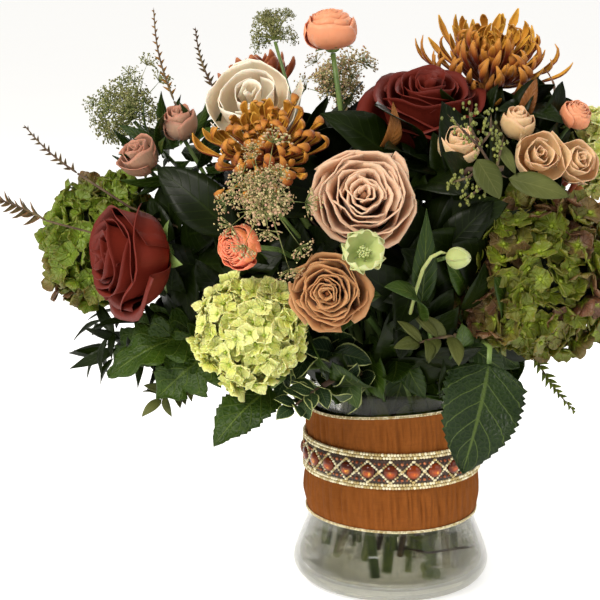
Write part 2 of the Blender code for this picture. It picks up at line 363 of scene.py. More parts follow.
class Head:
    """Where a flower's head is: its base, its axis, its radius and its height."""

    def __init__(self, node, rows, facing=None):
        solid = merged_copy(node)
        rings = rings_of(solid)[-rows:]
        centres = [centre_of(ring) for ring in rings]
        reach = centres[-1] - centres[0]
        self.base, self.axis, self.height = centres[0], reach.normalized(), reach.length
        if facing:
            middle = centres[0] + reach / 2
            self.axis = Vector(facing).normalized()
            self.base = middle - self.axis * self.height / 2
        self.radius = max((vert.co - centre).length
                          for ring, centre in zip(rings, centres) for vert in ring)
        solid.free()

    def matrix(self, spin=0.0):
        return Matrix.Translation(self.base) @ turn_to(self.axis) @ Matrix.Rotation(spin, 4, "Z")


class Blade:
    """Where a leaf's blade is: its base, its tip, its width and the way that it faces."""

    def __init__(self, node):
        solid = merged_copy(node)
        rings = rings_of(solid)
        centres = [centre_of(ring) for ring in rings]
        self.base, self.tip = centres[-LEAF_ROWS - 1], centres[-1]
        widest = max(rings[-LEAF_ROWS:], key=lambda ring: max(
            (vert.co - centre_of(ring)).length for vert in ring))
        middle = centre_of(widest)
        edge = max(widest, key=lambda vert: (vert.co - middle).length)
        self.half = (edge.co - middle).length
        run = (self.tip - self.base).normalized()
        side = edge.co - middle
        side = (side - run * side.dot(run)).normalized()
        self.face = run.cross(side).normalized()
        if self.face.dot(Vector((self.tip.x, self.tip.y, OUTWARD_LIFT))) < 0:
            self.face = -self.face
        solid.free()




def stem_piece(node, rows, slot, finish, slim=1.0):
    """The CAD stem of a node, without its head or its blade, closed where it was cut."""
    solid = merged_copy(node)
    rings = rings_of(solid)
    bmesh.ops.delete(solid, geom=[vert for ring in rings[-rows:] for vert in ring], context="VERTS")
    if slim != 1.0:
        for ring in rings[:-rows]:
            middle = centre_of(ring)
            for vert in ring:
                vert.co = middle + (vert.co - middle) * slim
    bmesh.ops.holes_fill(solid, edges=solid.edges, sides=0)
    stem = Bouquet()
    mesh = bpy.data.meshes.new(node + "_stem")
    solid.to_mesh(mesh)
    solid.free()
    stem.mesh.from_mesh(mesh)
    return stem.piece(node + "_stem", [finish], slot, [node])


sample = Head("rose_red_left", CUP_ROWS)
print("rose_red_left: radius", round(sample.radius, 4), "height", round(sample.height, 4))

# %% [markdown]
# A petal is never one colour. Its heart is deeper, its rim catches the light or browns with age,
# fine veins run along it, and no two petals of a flower are quite alike. One helper mixes those
# four things; each flower only names its colours.


# %% Petal finish
FLECK = 0.35


def petal_finish(name, heart, body, rim, shade, rim_start=0.86, rim_share=0.8, heart_end=0.55,
                 roughness=0.6, sheen=0.1, glow=0.0, gloss=0.3):
    """A petal: heart at the base, body, rim at the edges, and a shade for the darker petals."""
    finish = Finish(name, Roughness=roughness, Sheen_Weight=sheen, Sheen_Roughness=0.4,
                    Specular_IOR_Level=gloss, Subsurface_Weight=glow, Subsurface_Scale=0.003)
    along, across, tone = (finish.value(layer) for layer in LAYERS)
    side = abs(across)
    colour = finish.mix(along.rise(0.05, heart_end), heart, body)
    edge = along.rise(rim_start, 1.0).larger(side.rise(rim_start, 1.05)) * rim_share
    mottle = finish.noise(finish.place(), 90.0, 4.0)
    spots = (tone * 0.8 + (mottle - 0.5) * 1.4 * FLECK).rise(0.0, 1.0)
    colour = finish.mix(spots * 0.75, colour, shade)
    finish.feed("Base Color", finish.mix(edge, colour, rim))
    veins = finish.noise(finish.vector(across * 26.0, along * 2.5, tone * 40.0), 1.0, 2.0)
    finish.bump(veins, 0.0002)
    return finish


stem_green = two_tone("stem_green", (72, 96, 44), (118, 140, 72), 35.0, band=(0.35, 0.7),
                      Roughness=0.45, Specular_IOR_Level=0.4)
stem_green.bump(stem_green.noise(stem_green.place(), 400.0, 2.0), 0.0002)
stem_brown = two_tone("stem_brown", (70, 48, 34), (104, 88, 56), 60.0, 4.0, (0.4, 0.65), Roughness=0.7)
stem_brown.bump(stem_brown.noise(stem_brown.place(), 300.0), 0.0004)
print("stems:", stem_green.material.name, stem_brown.material.name)

# %% [markdown]
# A garden rose is a spiral. Each new petal starts a golden turn after the last, so none hides the
# one before. The heart's petals wrap almost right round and lean in; the outer ones are broad
# bowls whose rims roll back. One petal formula, fed with its place in the spiral, makes them all.


# %% Rose
def lerp(first, second, share):
    return first + (second - first) * share


def bezier(controls, share):
    rest = 1 - share
    a, b, c, d = controls
    return (a * rest ** 3 + 3 * b * rest ** 2 * share + 3 * c * rest * share ** 2 + d * share ** 3)


class RoseStyle:
    """How a rose opens: how many petals, how far the rims lean out, roll back and ruffle."""

    def __init__(self, petals, lean=0.0, roll=1.0, crown=0.38, wrap=(150, 52), crowd=0.8,
                 grid=(9, 12), point=0.03, ruffle=1.0, stray=0.05):
        self.petals, self.lean, self.roll, self.crown = petals, lean, roll, crown
        self.wrap, self.crowd, self.grid, self.point = wrap, crowd, grid, point
        self.ruffle, self.stray = ruffle, stray


def rose_petal(radius, height, style, share, turn, chance):
    """The formula of one petal, share 0 in the heart of the rose and 1 on the outside."""
    rim = 0.07 + 0.93 * share ** style.crowd
    rim *= 1 + chance.uniform(-style.stray, style.stray) * (0.3 + share)
    top = 0.98 - style.crown * rim ** 3 + chance.uniform(-0.035, 0.02)
    belly = rim * (1.0 - 0.04 * share)
    lean = lerp(0.78, 0.92 + style.lean, share) + chance.uniform(-0.04, 0.06) * share
    out = (0.05 + 0.08 * share, belly * 0.9, belly * 1.1, rim * lean)
    rise = (0.02, 0.03 + 0.2 * (1 - share), top * 0.55, top)
    reach = math.radians(lerp(style.wrap[0], style.wrap[1], share ** 0.5)) * chance.uniform(0.86, 1.12)
    roll = style.roll * lerp(0.5, 1.0, share) * chance.uniform(0.6, 1.3)
    phases = [chance.uniform(0, TAU) for _ in range(3)]
    ruffle = (0.020 + 0.022 * share) * style.ruffle
    cusp, slope = chance.uniform(-0.3, 0.3), chance.uniform(-0.05, 0.05) * style.ruffle

    def formula(along, across):
        lift = max(0.0, (along - 0.70) / 0.30)
        side = abs(across)
        out_now = bezier(out, along) * (1 + 0.05 * across)
        up_now = bezier(rise, along)
        out_now += roll * (0.11 * lift ** 2 + 0.05 * side ** 4 * along)
        up_now -= roll * (0.085 * lift ** 2) + (0.05 + 0.13 * share) * side ** 2.4 * along ** 2
        up_now += style.point * max(0.0, 1 - abs(across - cusp) * 3) * lift + slope * across * along
        wave = math.sin(4 * across + phases[0]) + 0.6 * math.sin(9 * across + phases[1] + 3 * along)
        out_now += ruffle * wave * along ** 2
        up_now += ruffle * 0.7 * math.sin(6 * across + phases[2]) * along ** 2
        angle = turn + across * reach
        return Vector((out_now * math.cos(angle) * radius, out_now * math.sin(angle) * radius,
                       up_now * height))
    return formula


def calyx(bouquet, radius, height, chance):
    """Five green sepals under the head, on a small swollen cup."""
    bouquet.ball((0, 0, height * 0.02), (radius * 0.24, radius * 0.24, height * 0.10), material=1)
    for index in range(5):
        turn = TAU * index / 5 + chance.uniform(-0.2, 0.2)
        droop = chance.uniform(0.0, 0.22)

        def sepal(along, across):
            out = radius * (0.16 + 0.50 * along)
            up = height * (0.02 + 0.12 * along - droop * along ** 2)
            wide = radius * 0.13 * math.sin(math.pi * (0.25 + 0.75 * along)) * across
            return Vector((out * math.cos(turn) - wide * math.sin(turn),
                           out * math.sin(turn) + wide * math.cos(turn), up))
        bouquet.sheet(5, 2, sepal, material=1)


def rose(name, style, finish, slot, seed, thickness, facing=None, bloom=1.0, eye=None):
    """A rose on its CAD head, with its calyx and its stem. Bloom spreads the open head."""
    head, chance, bouquet = Head(name, CUP_ROWS, facing), random.Random(seed), Bouquet()
    radius, height = head.radius, head.height
    for index in range(style.petals):
        share, turn = index / (style.petals - 1), index * GOLDEN_TURN
        formula = rose_petal(radius * bloom, height, style, share, turn, chance)
        bouquet.sheet(*style.grid, formula, tone=chance.random())
    core = radius * (0.24 if eye else 0.10)
    bouquet.ball((0, 0, height * 0.4), (core, core, height * (0.5 if eye else 0.42)), 1.0, 0.0,
                 material=2 if eye else 0)
    calyx(bouquet, radius, height, chance)
    finishes = [finish, stem_green] + ([eye] if eye else [])
    spin = chance.uniform(0, TAU)
    return bouquet.dress(name, CUP_ROWS, "_petals", finishes, slot, head.matrix(spin), thickness)


burgundy = petal_finish("burgundy_petal", (180, 42, 26), (116, 38, 25), (98, 32, 24),
                        (84, 25, 17), heart_end=0.45, roughness=0.55, sheen=0.0, gloss=0.2)
mauve = petal_finish("mauve_petal", (196, 138, 98), (210, 168, 136), (224, 194, 166),
                     (194, 148, 116), rim_start=0.7, rim_share=0.5, glow=0.1)
caramel = petal_finish("caramel_petal", (140, 82, 42), (170, 120, 74), (190, 144, 98),
                       (152, 100, 58), rim_start=0.7, rim_share=0.5, glow=0.1)
cream = petal_finish("cream_petal", (234, 210, 168), (238, 226, 204), (242, 234, 218),
                     (224, 208, 184), glow=0.12)
peach = petal_finish("peach_petal", (206, 150, 90), (222, 188, 142), (224, 182, 146),
                     (206, 164, 112), glow=0.12)
coral = petal_finish("coral_petal", (220, 84, 62), (226, 112, 84), (230, 142, 108),
                     (222, 142, 70), roughness=0.5, glow=0.12)
apricot = petal_finish("apricot_petal", (206, 106, 66), (220, 142, 104), (228, 158, 120),
                       (212, 128, 88), roughness=0.5, glow=0.12)
dusty = petal_finish("dusty_petal", (190, 140, 112), (194, 154, 128), (178, 122, 102),
                     (156, 114, 90), glow=0.1)
dark_eye = two_tone("ranunculus_eye", (30, 20, 18), (74, 58, 36), 700.0, Roughness=0.6)

full_rose = RoseStyle(27, lean=0.02, roll=1.5, crown=0.40, crowd=1.0, ruffle=1.5, stray=0.06)
quartered_rose = RoseStyle(25, lean=-0.04, roll=1.5, crown=0.34, wrap=(110, 72), crowd=0.95, ruffle=1.6,
                           stray=0.045, point=0.02)
dark_rose = RoseStyle(16, lean=0.06, roll=1.8, crown=0.26, wrap=(150, 88), crowd=1.0, ruffle=1.3,
                      grid=(11, 16), point=0.0)
small_rose = RoseStyle(9, lean=-0.02, roll=0.9, crown=0.20, wrap=(140, 88), crowd=0.95, ruffle=1.4,
                       stray=0.1, point=0.07)
bud_rose = RoseStyle(10, lean=-0.12, roll=0.35, crown=0.22, wrap=(150, 84), grid=(8, 10), point=0.06)
globe_bloom = RoseStyle(26, lean=-0.12, roll=0.3, crown=0.30, wrap=(130, 52), grid=(8, 10), point=0.0)

ROSE_WALL, BUD_WALL = 0.00045, 0.00035
for name, style, finish, slot, seed, wall, more in (
        ("rose_red_left", dark_rose, burgundy, "petals_brick", 11, ROSE_WALL,
         {"facing": (-0.91, -0.42, 0.04), "bloom": 0.9}),
        ("rose_red_top", dark_rose, burgundy, "petals_brick", 12, ROSE_WALL,
         {"facing": (0.05, -0.42, 0.9)}),
        ("rose_red_back", dark_rose, burgundy, "petals_brick", 13, ROSE_WALL, {}),
        ("rose_taupe", quartered_rose, mauve, "petals_dusty", 14, 0.0009, {"bloom": 0.95}),
        ("rose_taupe_back", quartered_rose, mauve, "petals_dusty", 15, 0.0009, {}),
        ("rose_caramel", full_rose, caramel, "petals_caramel", 16, 0.0006, {"bloom": 0.86}),
        ("rose_caramel_side", full_rose, caramel, "petals_caramel", 17, 0.0006, {}),
        ("rose_cream", small_rose, cream, "petals_cream", 18, ROSE_WALL,
         {"facing": (-0.1, -0.78, 0.6), "bloom": 1.25}),
        ("spray_rose_peach", bud_rose, peach, "petals_peach", 30, BUD_WALL, {"bloom": 1.1}),
        ("spray_rose_bud", bud_rose, peach, "petals_peach", 31, BUD_WALL, {"bloom": 1.15}),
        ("spray_rose_tan", small_rose, peach, "petals_peach", 32, BUD_WALL, {"bloom": 1.3}),
        ("spray_rose_edge", small_rose, peach, "petals_peach", 33, BUD_WALL, {"bloom": 1.2}),
        ("spray_rose_pink", small_rose, dusty, "petals_dusty", 34, BUD_WALL, {}),
        ("spray_rose_beige", bud_rose, dusty, "petals_dusty", 35, BUD_WALL, {}),
        ("ranunculus_top", globe_bloom, apricot, "petals_coral", 36, BUD_WALL, {}),
        ("ranunculus_left", globe_bloom, coral, "petals_coral", 37, BUD_WALL, {"eye": dark_eye}),
        ("ranunculus_right", globe_bloom, apricot, "petals_coral", 38, BUD_WALL, {"eye": dark_eye}),
        ("ranunculus_edge", globe_bloom, coral, "petals_coral", 39, BUD_WALL, {"eye": dark_eye})):
    rose(name, style, finish, slot, seed, wall, **more)

# %% [markdown]
# A spider chrysanthemum is all quills: each petal is a narrow sheet rolled almost into a tube,
# which opens into a spoon and hooks over at its tip. The short inner quills stand up, the long
# outer ones sweep out and turn up. Each quill's wall has two finishes, gold on one side and deep
# red on the other, so the hooked tips show their red throats.


# %% Spider mum
QUILL_STEPS = 13


def quill(radius, height, share, turn, chance, hook, girth):
    """The formula of one quill, share 0 in the middle of the flower and 1 on the outside."""
    length = radius * lerp(0.72, 1.34, share ** 0.7) * chance.uniform(0.8, 1.15)
    climb = math.radians(lerp(86, 6, share ** 0.8) + chance.uniform(-12, 12))
    bend = math.radians(lerp(-22, 58, share) * chance.uniform(0.5, 1.3))
    tip = math.radians(hook * chance.uniform(0.3, 1.6))
    sway = chance.uniform(-0.5, 0.5)
    wide = girth * chance.uniform(0.85, 1.25)
    places, climbs = [Vector((radius * 0.08 * (0.3 + share), 0, height * lerp(0.36, 0.22, share)))], []
    for step in range(QUILL_STEPS + 1):
        along = step / QUILL_STEPS
        climbs.append(climb + bend * along + tip * max(0.0, (along - 0.66) / 0.34))
        run = Vector((math.cos(climbs[-1]), sway * along ** 2, math.sin(climbs[-1])))
        places.append(places[-1] + run.normalized() * length / QUILL_STEPS)

    def formula(along, across):
        step = min(QUILL_STEPS, round(along * QUILL_STEPS))
        curl = math.radians(lerp(165, 84, max(0.0, (along - 0.5) / 0.35) if along < 0.85 else 1.0))
        spoon = math.sin(math.pi * max(0.0, min(1.0, (along - 0.5) / 0.5)))
        half = wide * (0.65 + 0.35 * along + 0.35 * spoon)
        half *= 1 - 0.75 * max(0.0, (along - 0.88) / 0.12)
        round_radius = half / curl
        angle = across * curl
        inward = Vector((-math.sin(climbs[step]), 0, math.cos(climbs[step])))
        place = places[step] + Vector((0, 1, 0)) * (math.sin(angle) * round_radius * 1.3)
        place += inward * ((1 - math.cos(angle)) * round_radius)
        return Matrix.Rotation(turn, 3, "Z") @ place
    return formula


def mum(name, quills, finishes, slot, seed, hook, girth, facing=None, drop=0.0):
    head, chance, bouquet = Head(name, DISC_ROWS, facing), random.Random(seed), Bouquet()
    head.base -= UP * drop
    radius, height = head.radius, head.height
    for index in range(quills):
        share = (index + 0.5) / quills
        formula = quill(radius, height, share, index * GOLDEN_TURN, chance, hook, girth)
        bouquet.sheet(QUILL_STEPS, 4, formula, tone=chance.random())
    bouquet.ball((0, 0, height * 0.26), (radius * 0.22, radius * 0.22, height * 0.22), 0.8, 0.0)
    matrix = head.matrix(chance.uniform(0, TAU))
    return bouquet.dress(name, DISC_ROWS, "_quills", finishes, slot, matrix, 0.0004, 1)


gold_inside = petal_finish("gold_quill_inside", (80, 22, 16), (138, 52, 24), (206, 142, 50),
                           (112, 38, 20), rim_start=0.7, heart_end=0.6, roughness=0.45)
gold_outside = petal_finish("gold_quill_outside", (158, 84, 30), (218, 160, 54), (222, 174, 68),
                            (186, 116, 40), rim_start=0.8, heart_end=0.6, roughness=0.45)
bronze_inside = petal_finish("bronze_quill_inside", (150, 62, 30), (158, 78, 40), (196, 124, 80),
                             (110, 44, 26), roughness=0.5)
gold = [gold_outside, gold_inside]
mum("mum_front", 96, gold, "petals_gold", 51, hook=150, girth=0.0027)
mum("mum_top", 150, gold, "petals_gold", 52, 90, 0.0025, facing=(0.02, -0.42, 0.85), drop=0.010)
mum("mum_back", 80, gold, "petals_gold", 53, hook=120, girth=0.0028)
mum("mum_bronze", 60, [bronze_inside, bronze_inside], "petals_copper", 54, hook=60, girth=0.0038)

# %% [markdown]
# A hydrangea head is a ball of some two hundred four-petalled florets. One floret is modelled six
# times over with small differences, and those meshes are stamped around the ball on a golden
# spiral, each turned more or less outwards. Under them a rough ball stands for the crowded stalks
# and closes the gaps; under the green heads it is near black, painted shade deep in the gaps.


# %% Hydrangea
GLOBE_CUT = 0.86


def floret(chance, lift, breadth):
    """One floret about 2 units across: four rounded sepals and a bead."""
    bouquet = Bouquet()
    for index in range(4):
        turn = TAU * index / 4 + chance.uniform(-0.15, 0.15)
        length, rise = chance.uniform(0.88, 1.1), chance.uniform(0.3, 1.5) * lift
        tilt, bowl = chance.uniform(-0.3, 0.3), chance.uniform(-0.6, 1.4) * 0.12

        def sepal(along, across):
            wide = breadth * (0.2 + 0.8 * math.sin(math.pi / 2 * min(1.0, along * 1.55)))
            wide *= 1 - 0.62 * max(0.0, (along - 0.55) / 0.45) ** 1.8
            out = along * length * (1.0 - 0.24 * across ** 2 * along ** 2)
            up = rise * along ** 1.7 + bowl * across ** 2 * along + tilt * wide * across
            return Matrix.Rotation(turn, 3, "Z") @ Vector((out, wide * across, up))
        bouquet.sheet(5, 4, sepal)
    bouquet.ball((0, 0, 0.08), (0.13, 0.13, 0.12), along=0.0, subdivisions=1)
    return bouquet.template("floret")


def around_globe(count):
    """Points of a golden spiral on a unit ball, from its top down to a cut near its stalk."""
    for index in range(count):
        up = 1 - (index + 0.5) / count * (1 + GLOBE_CUT)
        yield polar(math.sqrt(max(0.0, 1 - up * up)), index * GOLDEN_TURN, up)


def hydrangea(name, count, size, finishes, slot, seed, lift, looseness, jitter, breadth):
    """Florets on a globe. Looseness sinks some of them, and jitter turns them from the outside."""
    head, chance, bouquet = Head(name, GLOBE_ROWS), random.Random(seed), Bouquet()
    templates = [floret(chance, lift, breadth) for _ in range(6)]
    radius, half = head.radius, head.height / 2
    centre = Vector((0, 0, half))
    for spot in around_globe(count):
        lump = 1 + looseness * 2.2 * noise.noise(spot * 2.1 + Vector((seed, 0, 0)))
        lump -= chance.uniform(0, looseness)
        place = Vector((spot.x * radius, spot.y * radius, half + spot.z * half))
        place = centre + (place - centre) * lump - spot * size * 0.2
        facing = Vector((spot.x / radius, spot.y / radius, spot.z / half)).normalized()
        facing += scatter(chance, jitter)
        spin = Matrix.Rotation(chance.uniform(0, TAU), 4, "Z")
        matrix = Matrix.Translation(place) @ turn_to(facing) @ spin
        matrix = matrix @ Matrix.Diagonal((*[size / 2 * chance.uniform(0.85, 1.12)] * 3, 1))
        bouquet.stamp(chance.choice(templates), matrix, chance.random())
    bouquet.ball((0, 0, half * 0.98), (radius * 0.72, radius * 0.72, half * 0.74),
                 material=1, subdivisions=3)
    return bouquet.dress(name, GLOBE_ROWS, "_florets", finishes, slot, head.matrix(), 0.00025)


def floret_finish(name, fresh, aged, rim, heart, rim_share=0.5, tone_start=0.45, glow=0.1):
    """A hydrangea's sepals: fresh ones and aged ones side by side, each with its rim and its veins."""
    finish = Finish(name, Roughness=0.55, Subsurface_Weight=glow, Subsurface_Scale=0.002)
    along, across, tone = (finish.value(layer) for layer in LAYERS)
    side = abs(across)
    drift = finish.noise(finish.place(), 16.0, 2.0)
    age = (tone * 0.6 + drift * 0.8 - 0.2).rise(tone_start, tone_start + 0.35)
    colour = finish.mix(age, fresh, aged)
    patch = finish.noise(finish.place(), 240.0, 3.0)
    ragged = (patch - 0.5) * 0.5
    edge = (along + ragged).rise(0.6, 1.0).larger((side + ragged).rise(0.7, 1.1))
    colour = finish.mix(edge * rim_share, colour, rim)
    finish.feed("Base Color", finish.mix(1.0 - along.rise(0.05, 0.4), colour, heart))
    rib = abs((along * 3.0 - side * 1.4).fraction() - 0.5) * 2.0
    finish.bump(rib.rise(0.7, 1.0).larger(1.0 - side.rise(0.0, 0.12)), 0.0003)
    return finish


lime = floret_finish("lime_floret", (204, 208, 100), (220, 220, 136), (234, 232, 168),
                     (152, 168, 50), rim_share=0.55, glow=0.12)
antique = floret_finish("antique_floret", (98, 110, 10), (98, 62, 40), (94, 74, 20),
                        (134, 150, 30), rim_share=0.4, tone_start=0.42, glow=0.05)
green_floret = floret_finish("green_floret", (100, 122, 18), (96, 64, 36), (98, 80, 28),
                             (122, 144, 34), rim_share=0.35, tone_start=0.55, glow=0.05)
# Painted shade: the core of the green heads is near black, darker than their stalks, so the gaps between
# the florets read as deep shadow.
core = two_tone("floret_core_painted_shade", (16, 22, 8), (44, 52, 20), 160.0, 4.0, (0.35, 0.7), (300.0, 0.002),
                Roughness=0.9)
lime_core = two_tone("lime_core", (84, 98, 32), (132, 146, 60), 200.0, 4.0, (0.35, 0.7),
                     (300.0, 0.002), Roughness=0.9)
for name, count, size, finishes, slot, seed, *style in (
        ("hydrangea_lime", 200, 0.0165, [lime, lime_core], "florets_lime", 61, 0.35, 0.16, 0.5, 0.56),
        ("hydrangea_lime_right", 190, 0.0170, [lime, lime_core], "florets_lime", 62, 0.35, 0.16, 0.5, 0.56),
        ("hydrangea_lime_back", 190, 0.0165, [lime, lime_core], "florets_lime", 63, 0.35, 0.16, 0.5, 0.56),
        ("hydrangea_antique", 255, 0.0230, [antique, core], "florets_antique", 64, 0.32, 0.14, 0.85, 0.60),
        ("hydrangea_left", 185, 0.0205, [green_floret, core], "florets_antique", 65, 0.4, 0.14, 0.9, 0.60),
        ("hydrangea_green_back", 185, 0.0210, [green_floret, core], "florets_antique", 66,
         0.4, 0.14, 0.9, 0.60)):
    head_piece = hydrangea(name, count, size, finishes, slot, seed, *style)
    print(name, "has", count, "florets and", len(head_piece.data.polygons), "faces")

# %% [markdown]
# A leaf is the same kind of sheet, longer and calmer. Its outline is a formula of how far along
# the blade a row is; teeth or lobes only change that width. The midrib is a crease, the blade
# arches over its own length, and the side veins are drawn and raised by the material.


# %% Leaf finish and leaf blade
def leaf_finish(name, dark, light, vein, back, ribs=9.0, slant=1.9, roughness=0.45, vein_share=0.5,
                rim=None, rim_start=0.8, relief=0.0004, net=0.0, gloss=0.2):
    finish = Finish(name, Roughness=roughness, Specular_IOR_Level=gloss)
    along, across, tone = (finish.value(layer) for layer in LAYERS)
    side = abs(across)
    wander = (finish.noise(finish.place(), 60.0) - 0.5) * 0.25
    rib = abs((along * ribs - side * slant + wander).fraction() - 0.5) * 2.0
    veins = rib.rise(0.86, 1.0).larger(1.0 - side.rise(0.015, 0.07)) * along.rise(0.0, 0.06)
    patches = finish.noise(finish.place(), 45.0, 4.0)
    colour = finish.mix((tone * 0.7 + (patches - 0.5) * 1.2).rise(0.0, 1.0), dark, light)
    colour = finish.mix(finish.noise(finish.place(), 12.0).rise(0.62, 0.78) * 0.5, colour, back)
    if rim:
        ragged = side + (patches - 0.5) * 0.35
        colour = finish.mix(ragged.rise(rim_start, rim_start + 0.08), colour, rim)
    relief_map = veins * 0.6 + rib * 0.4 + finish.noise(finish.place(), 400.0) * 0.25
    if net:
        cells = finish.node("ShaderNodeTexVoronoi", {"feature": "DISTANCE_TO_EDGE"},
                            {"Vector": finish.place(), "Scale": 300.0})
        colour = finish.mix((1.0 - cells.rise(0.0, 0.10)) * net, colour, vein)
        relief_map = relief_map - cells.rise(0.0, 0.4) * 0.7
    finish.feed("Base Color", finish.mix(veins * vein_share, colour, vein))
    finish.bump(relief_map, relief)
    return finish


def oval(along):
    return math.sin(math.pi * along ** 0.8) ** 0.8


def lance(along):
    return math.sin(math.pi * along ** 0.7) ** 1.1


def heart_shape(along):
    return min(1.0, along * 7) ** 0.5 * math.cos(math.pi / 2 * along ** 1.6) ** 0.85


def lobed(along):
    return heart_shape(along) * (0.55 + 0.45 * abs(math.sin(4.2 * math.pi * along + 0.4)) ** 0.7)


def tapering(along):
    return (1 - along) ** 0.8 + 0.02


def leaf_sheet(bouquet, base, tip, half, face, outline=oval, rows=14, columns=6, fold=0.16, arch=0.10,
               wave=0.03, teeth=0, cut=0.10, twist=0.0, sway=0.0, tone=0.5, material=0, chance=random):
    """A blade from its base to its tip, as wide as twice half, its upper side towards face."""
    reach = tip - base
    _, side_way, up_way = axes(reach, face)
    length, phase = reach.length, chance.uniform(0, TAU)

    def formula(along, across):
        wide = half * outline(along)
        edge = abs(across)
        if teeth:
            wide *= 1 - cut * (along * teeth % 1) * edge ** 3
        spin = twist * (along - 0.4)
        ripple = wave * half * 2 * math.sin(along * 11 + phase + across)
        bowl = fold * edge * wide + ripple * edge ** 2
        lift = arch * length * math.sin(math.pi * along) + math.cos(spin) * bowl
        lean = sway * length * math.sin(math.pi * along)
        place = base + reach * along + side_way * (across * wide * math.cos(spin) + lean)
        return place + up_way * (lift + across * wide * math.sin(spin))
    return bouquet.sheet(rows, columns, formula, tone, material)


dark_leaf = leaf_finish("dark_leaf", (9, 17, 1), (25, 37, 4), (44, 58, 14),
                        (22, 31, 5), vein_share=0.25, roughness=0.4, relief=0.00012, gloss=0.12)
green_leaf = leaf_finish("green_leaf", (28, 46, 8), (52, 74, 16), (112, 128, 56),
                         (40, 58, 14), vein_share=0.35, roughness=0.42, relief=0.0003)
bright_leaf = leaf_finish("bright_leaf", (28, 48, 6), (52, 75, 13), (106, 124, 48),
                          (40, 61, 10), ribs=6.0, slant=2.0, vein_share=0.35, roughness=0.45, net=0.10)
blue_leaf = leaf_finish("hydrangea_leaf", (18, 34, 8), (36, 54, 18), (92, 110, 50),
                        (26, 42, 12), ribs=6.0, slant=2.0, vein_share=0.5, roughness=0.45, net=0.08)
sage_leaf = leaf_finish("sage_leaf", (62, 68, 28), (88, 92, 46), (120, 120, 70),
                        (72, 76, 40), ribs=6.0, vein_share=0.2, roughness=0.5, relief=0.0001)
# Painted light: a lighter leaf green for the leaves inside the vase, making up for the light that the glass
# holds back from them.
vase_leaf_painted_light = leaf_finish("vase_leaf_painted_light", (104, 130, 40), (146, 160, 70), (176, 184, 110),
                       (120, 140, 56))
cream_edged = leaf_finish("cream_edged_leaf", (24, 42, 22), (46, 66, 34), (96, 112, 66),
                          (38, 56, 30), rim=(168, 176, 112), rim_start=0.84)
frond_leaf = leaf_finish("frond_leaf", (62, 60, 34), (104, 88, 56), (150, 120, 80),
                         (78, 62, 44), ribs=15.0, slant=0.5, rim=(150, 112, 76), rim_start=0.6)
gold_frond = leaf_finish("gold_frond", (150, 104, 44), (176, 128, 62), (190, 150, 90),
                         (128, 86, 40), ribs=15.0, slant=0.5)
copper_leaf = leaf_finish("copper_leaf", (112, 66, 28), (142, 92, 44), (170, 120, 64),
                          (96, 60, 28), roughness=0.4)
frond_green = leaf_finish("fern_leaf", (92, 108, 30), (134, 146, 48), (160, 168, 80),
                          (106, 120, 40), ribs=15.0, slant=0.5)

# %% [markdown]
# The frame gives each leaf one plate. Most become a single blade of the same length and width.
# A few were stand-ins for a whole sprig, so they become a stalk with leaves in pairs.


# %% Leaves on their CAD plates
FROND_SLIM = 0.45
SEEDS = 28


def dressed_leaf(name, finish, slot, seed, narrow=1.0, **shape):
    spot, chance, bouquet = Blade(name), random.Random(seed), Bouquet()
    leaf_sheet(bouquet, spot.base, spot.tip, spot.half * narrow, spot.face, tone=chance.random(),
               chance=chance, **shape)
    return bouquet.dress(name, LEAF_ROWS, "_blade", [finish], slot, thickness=0.00045)


def dressed_sprig(name, finish, slot, seed, pairs, leaf, half):
    """A stalk with leaves in loose pairs, the last one at its tip."""
    spot, chance, bouquet = Blade(name), random.Random(seed), Bouquet()
    base, face, plate = spot.base, spot.face, spot.tip - spot.base
    tip = base + plate * (1 - 0.6 * leaf / plate.length)
    reach = tip - base
    run, side_way, up_way = axes(reach, face)
    points = [base + reach * (step / 8) + up_way * 0.06 * reach.length * math.sin(math.pi * step / 8)
              for step in range(9)]
    girths = [0.0009 * (1 - 0.06 * step) for step in range(7)]
    bouquet.tube(points, [0, *girths, 0], 5, material=1)
    for index in range(pairs * 2):
        share = (index // 2 + 0.6 + 0.25 * (index % 2)) / (pairs + 0.3)
        place = points[min(8, round(share * 8))]
        hand = 1 if index % 2 else -1
        way = (run * chance.uniform(0.4, 0.9) + side_way * hand * 0.85
               + up_way * chance.uniform(-0.1, 0.5)).normalized()
        size = leaf * (1 - 0.25 * share) * chance.uniform(0.85, 1.1)
        turned = (face + scatter(chance, 0.5)).normalized()
        leaf_sheet(bouquet, place, place + way * size, half * size / leaf, turned, rows=7, columns=4,
                   arch=chance.uniform(0.02, 0.14), tone=chance.random(), chance=chance)
    leaf_sheet(bouquet, points[-1] - run * leaf * 0.1, points[-1] + run * leaf * 0.75, half * 0.9, face,
               rows=7, columns=4, tone=chance.random(), chance=chance)
    return bouquet.dress(name, LEAF_ROWS, "_sprig", [finish, stem_brown], slot, thickness=0.0004,
                         stalk=stem_brown)


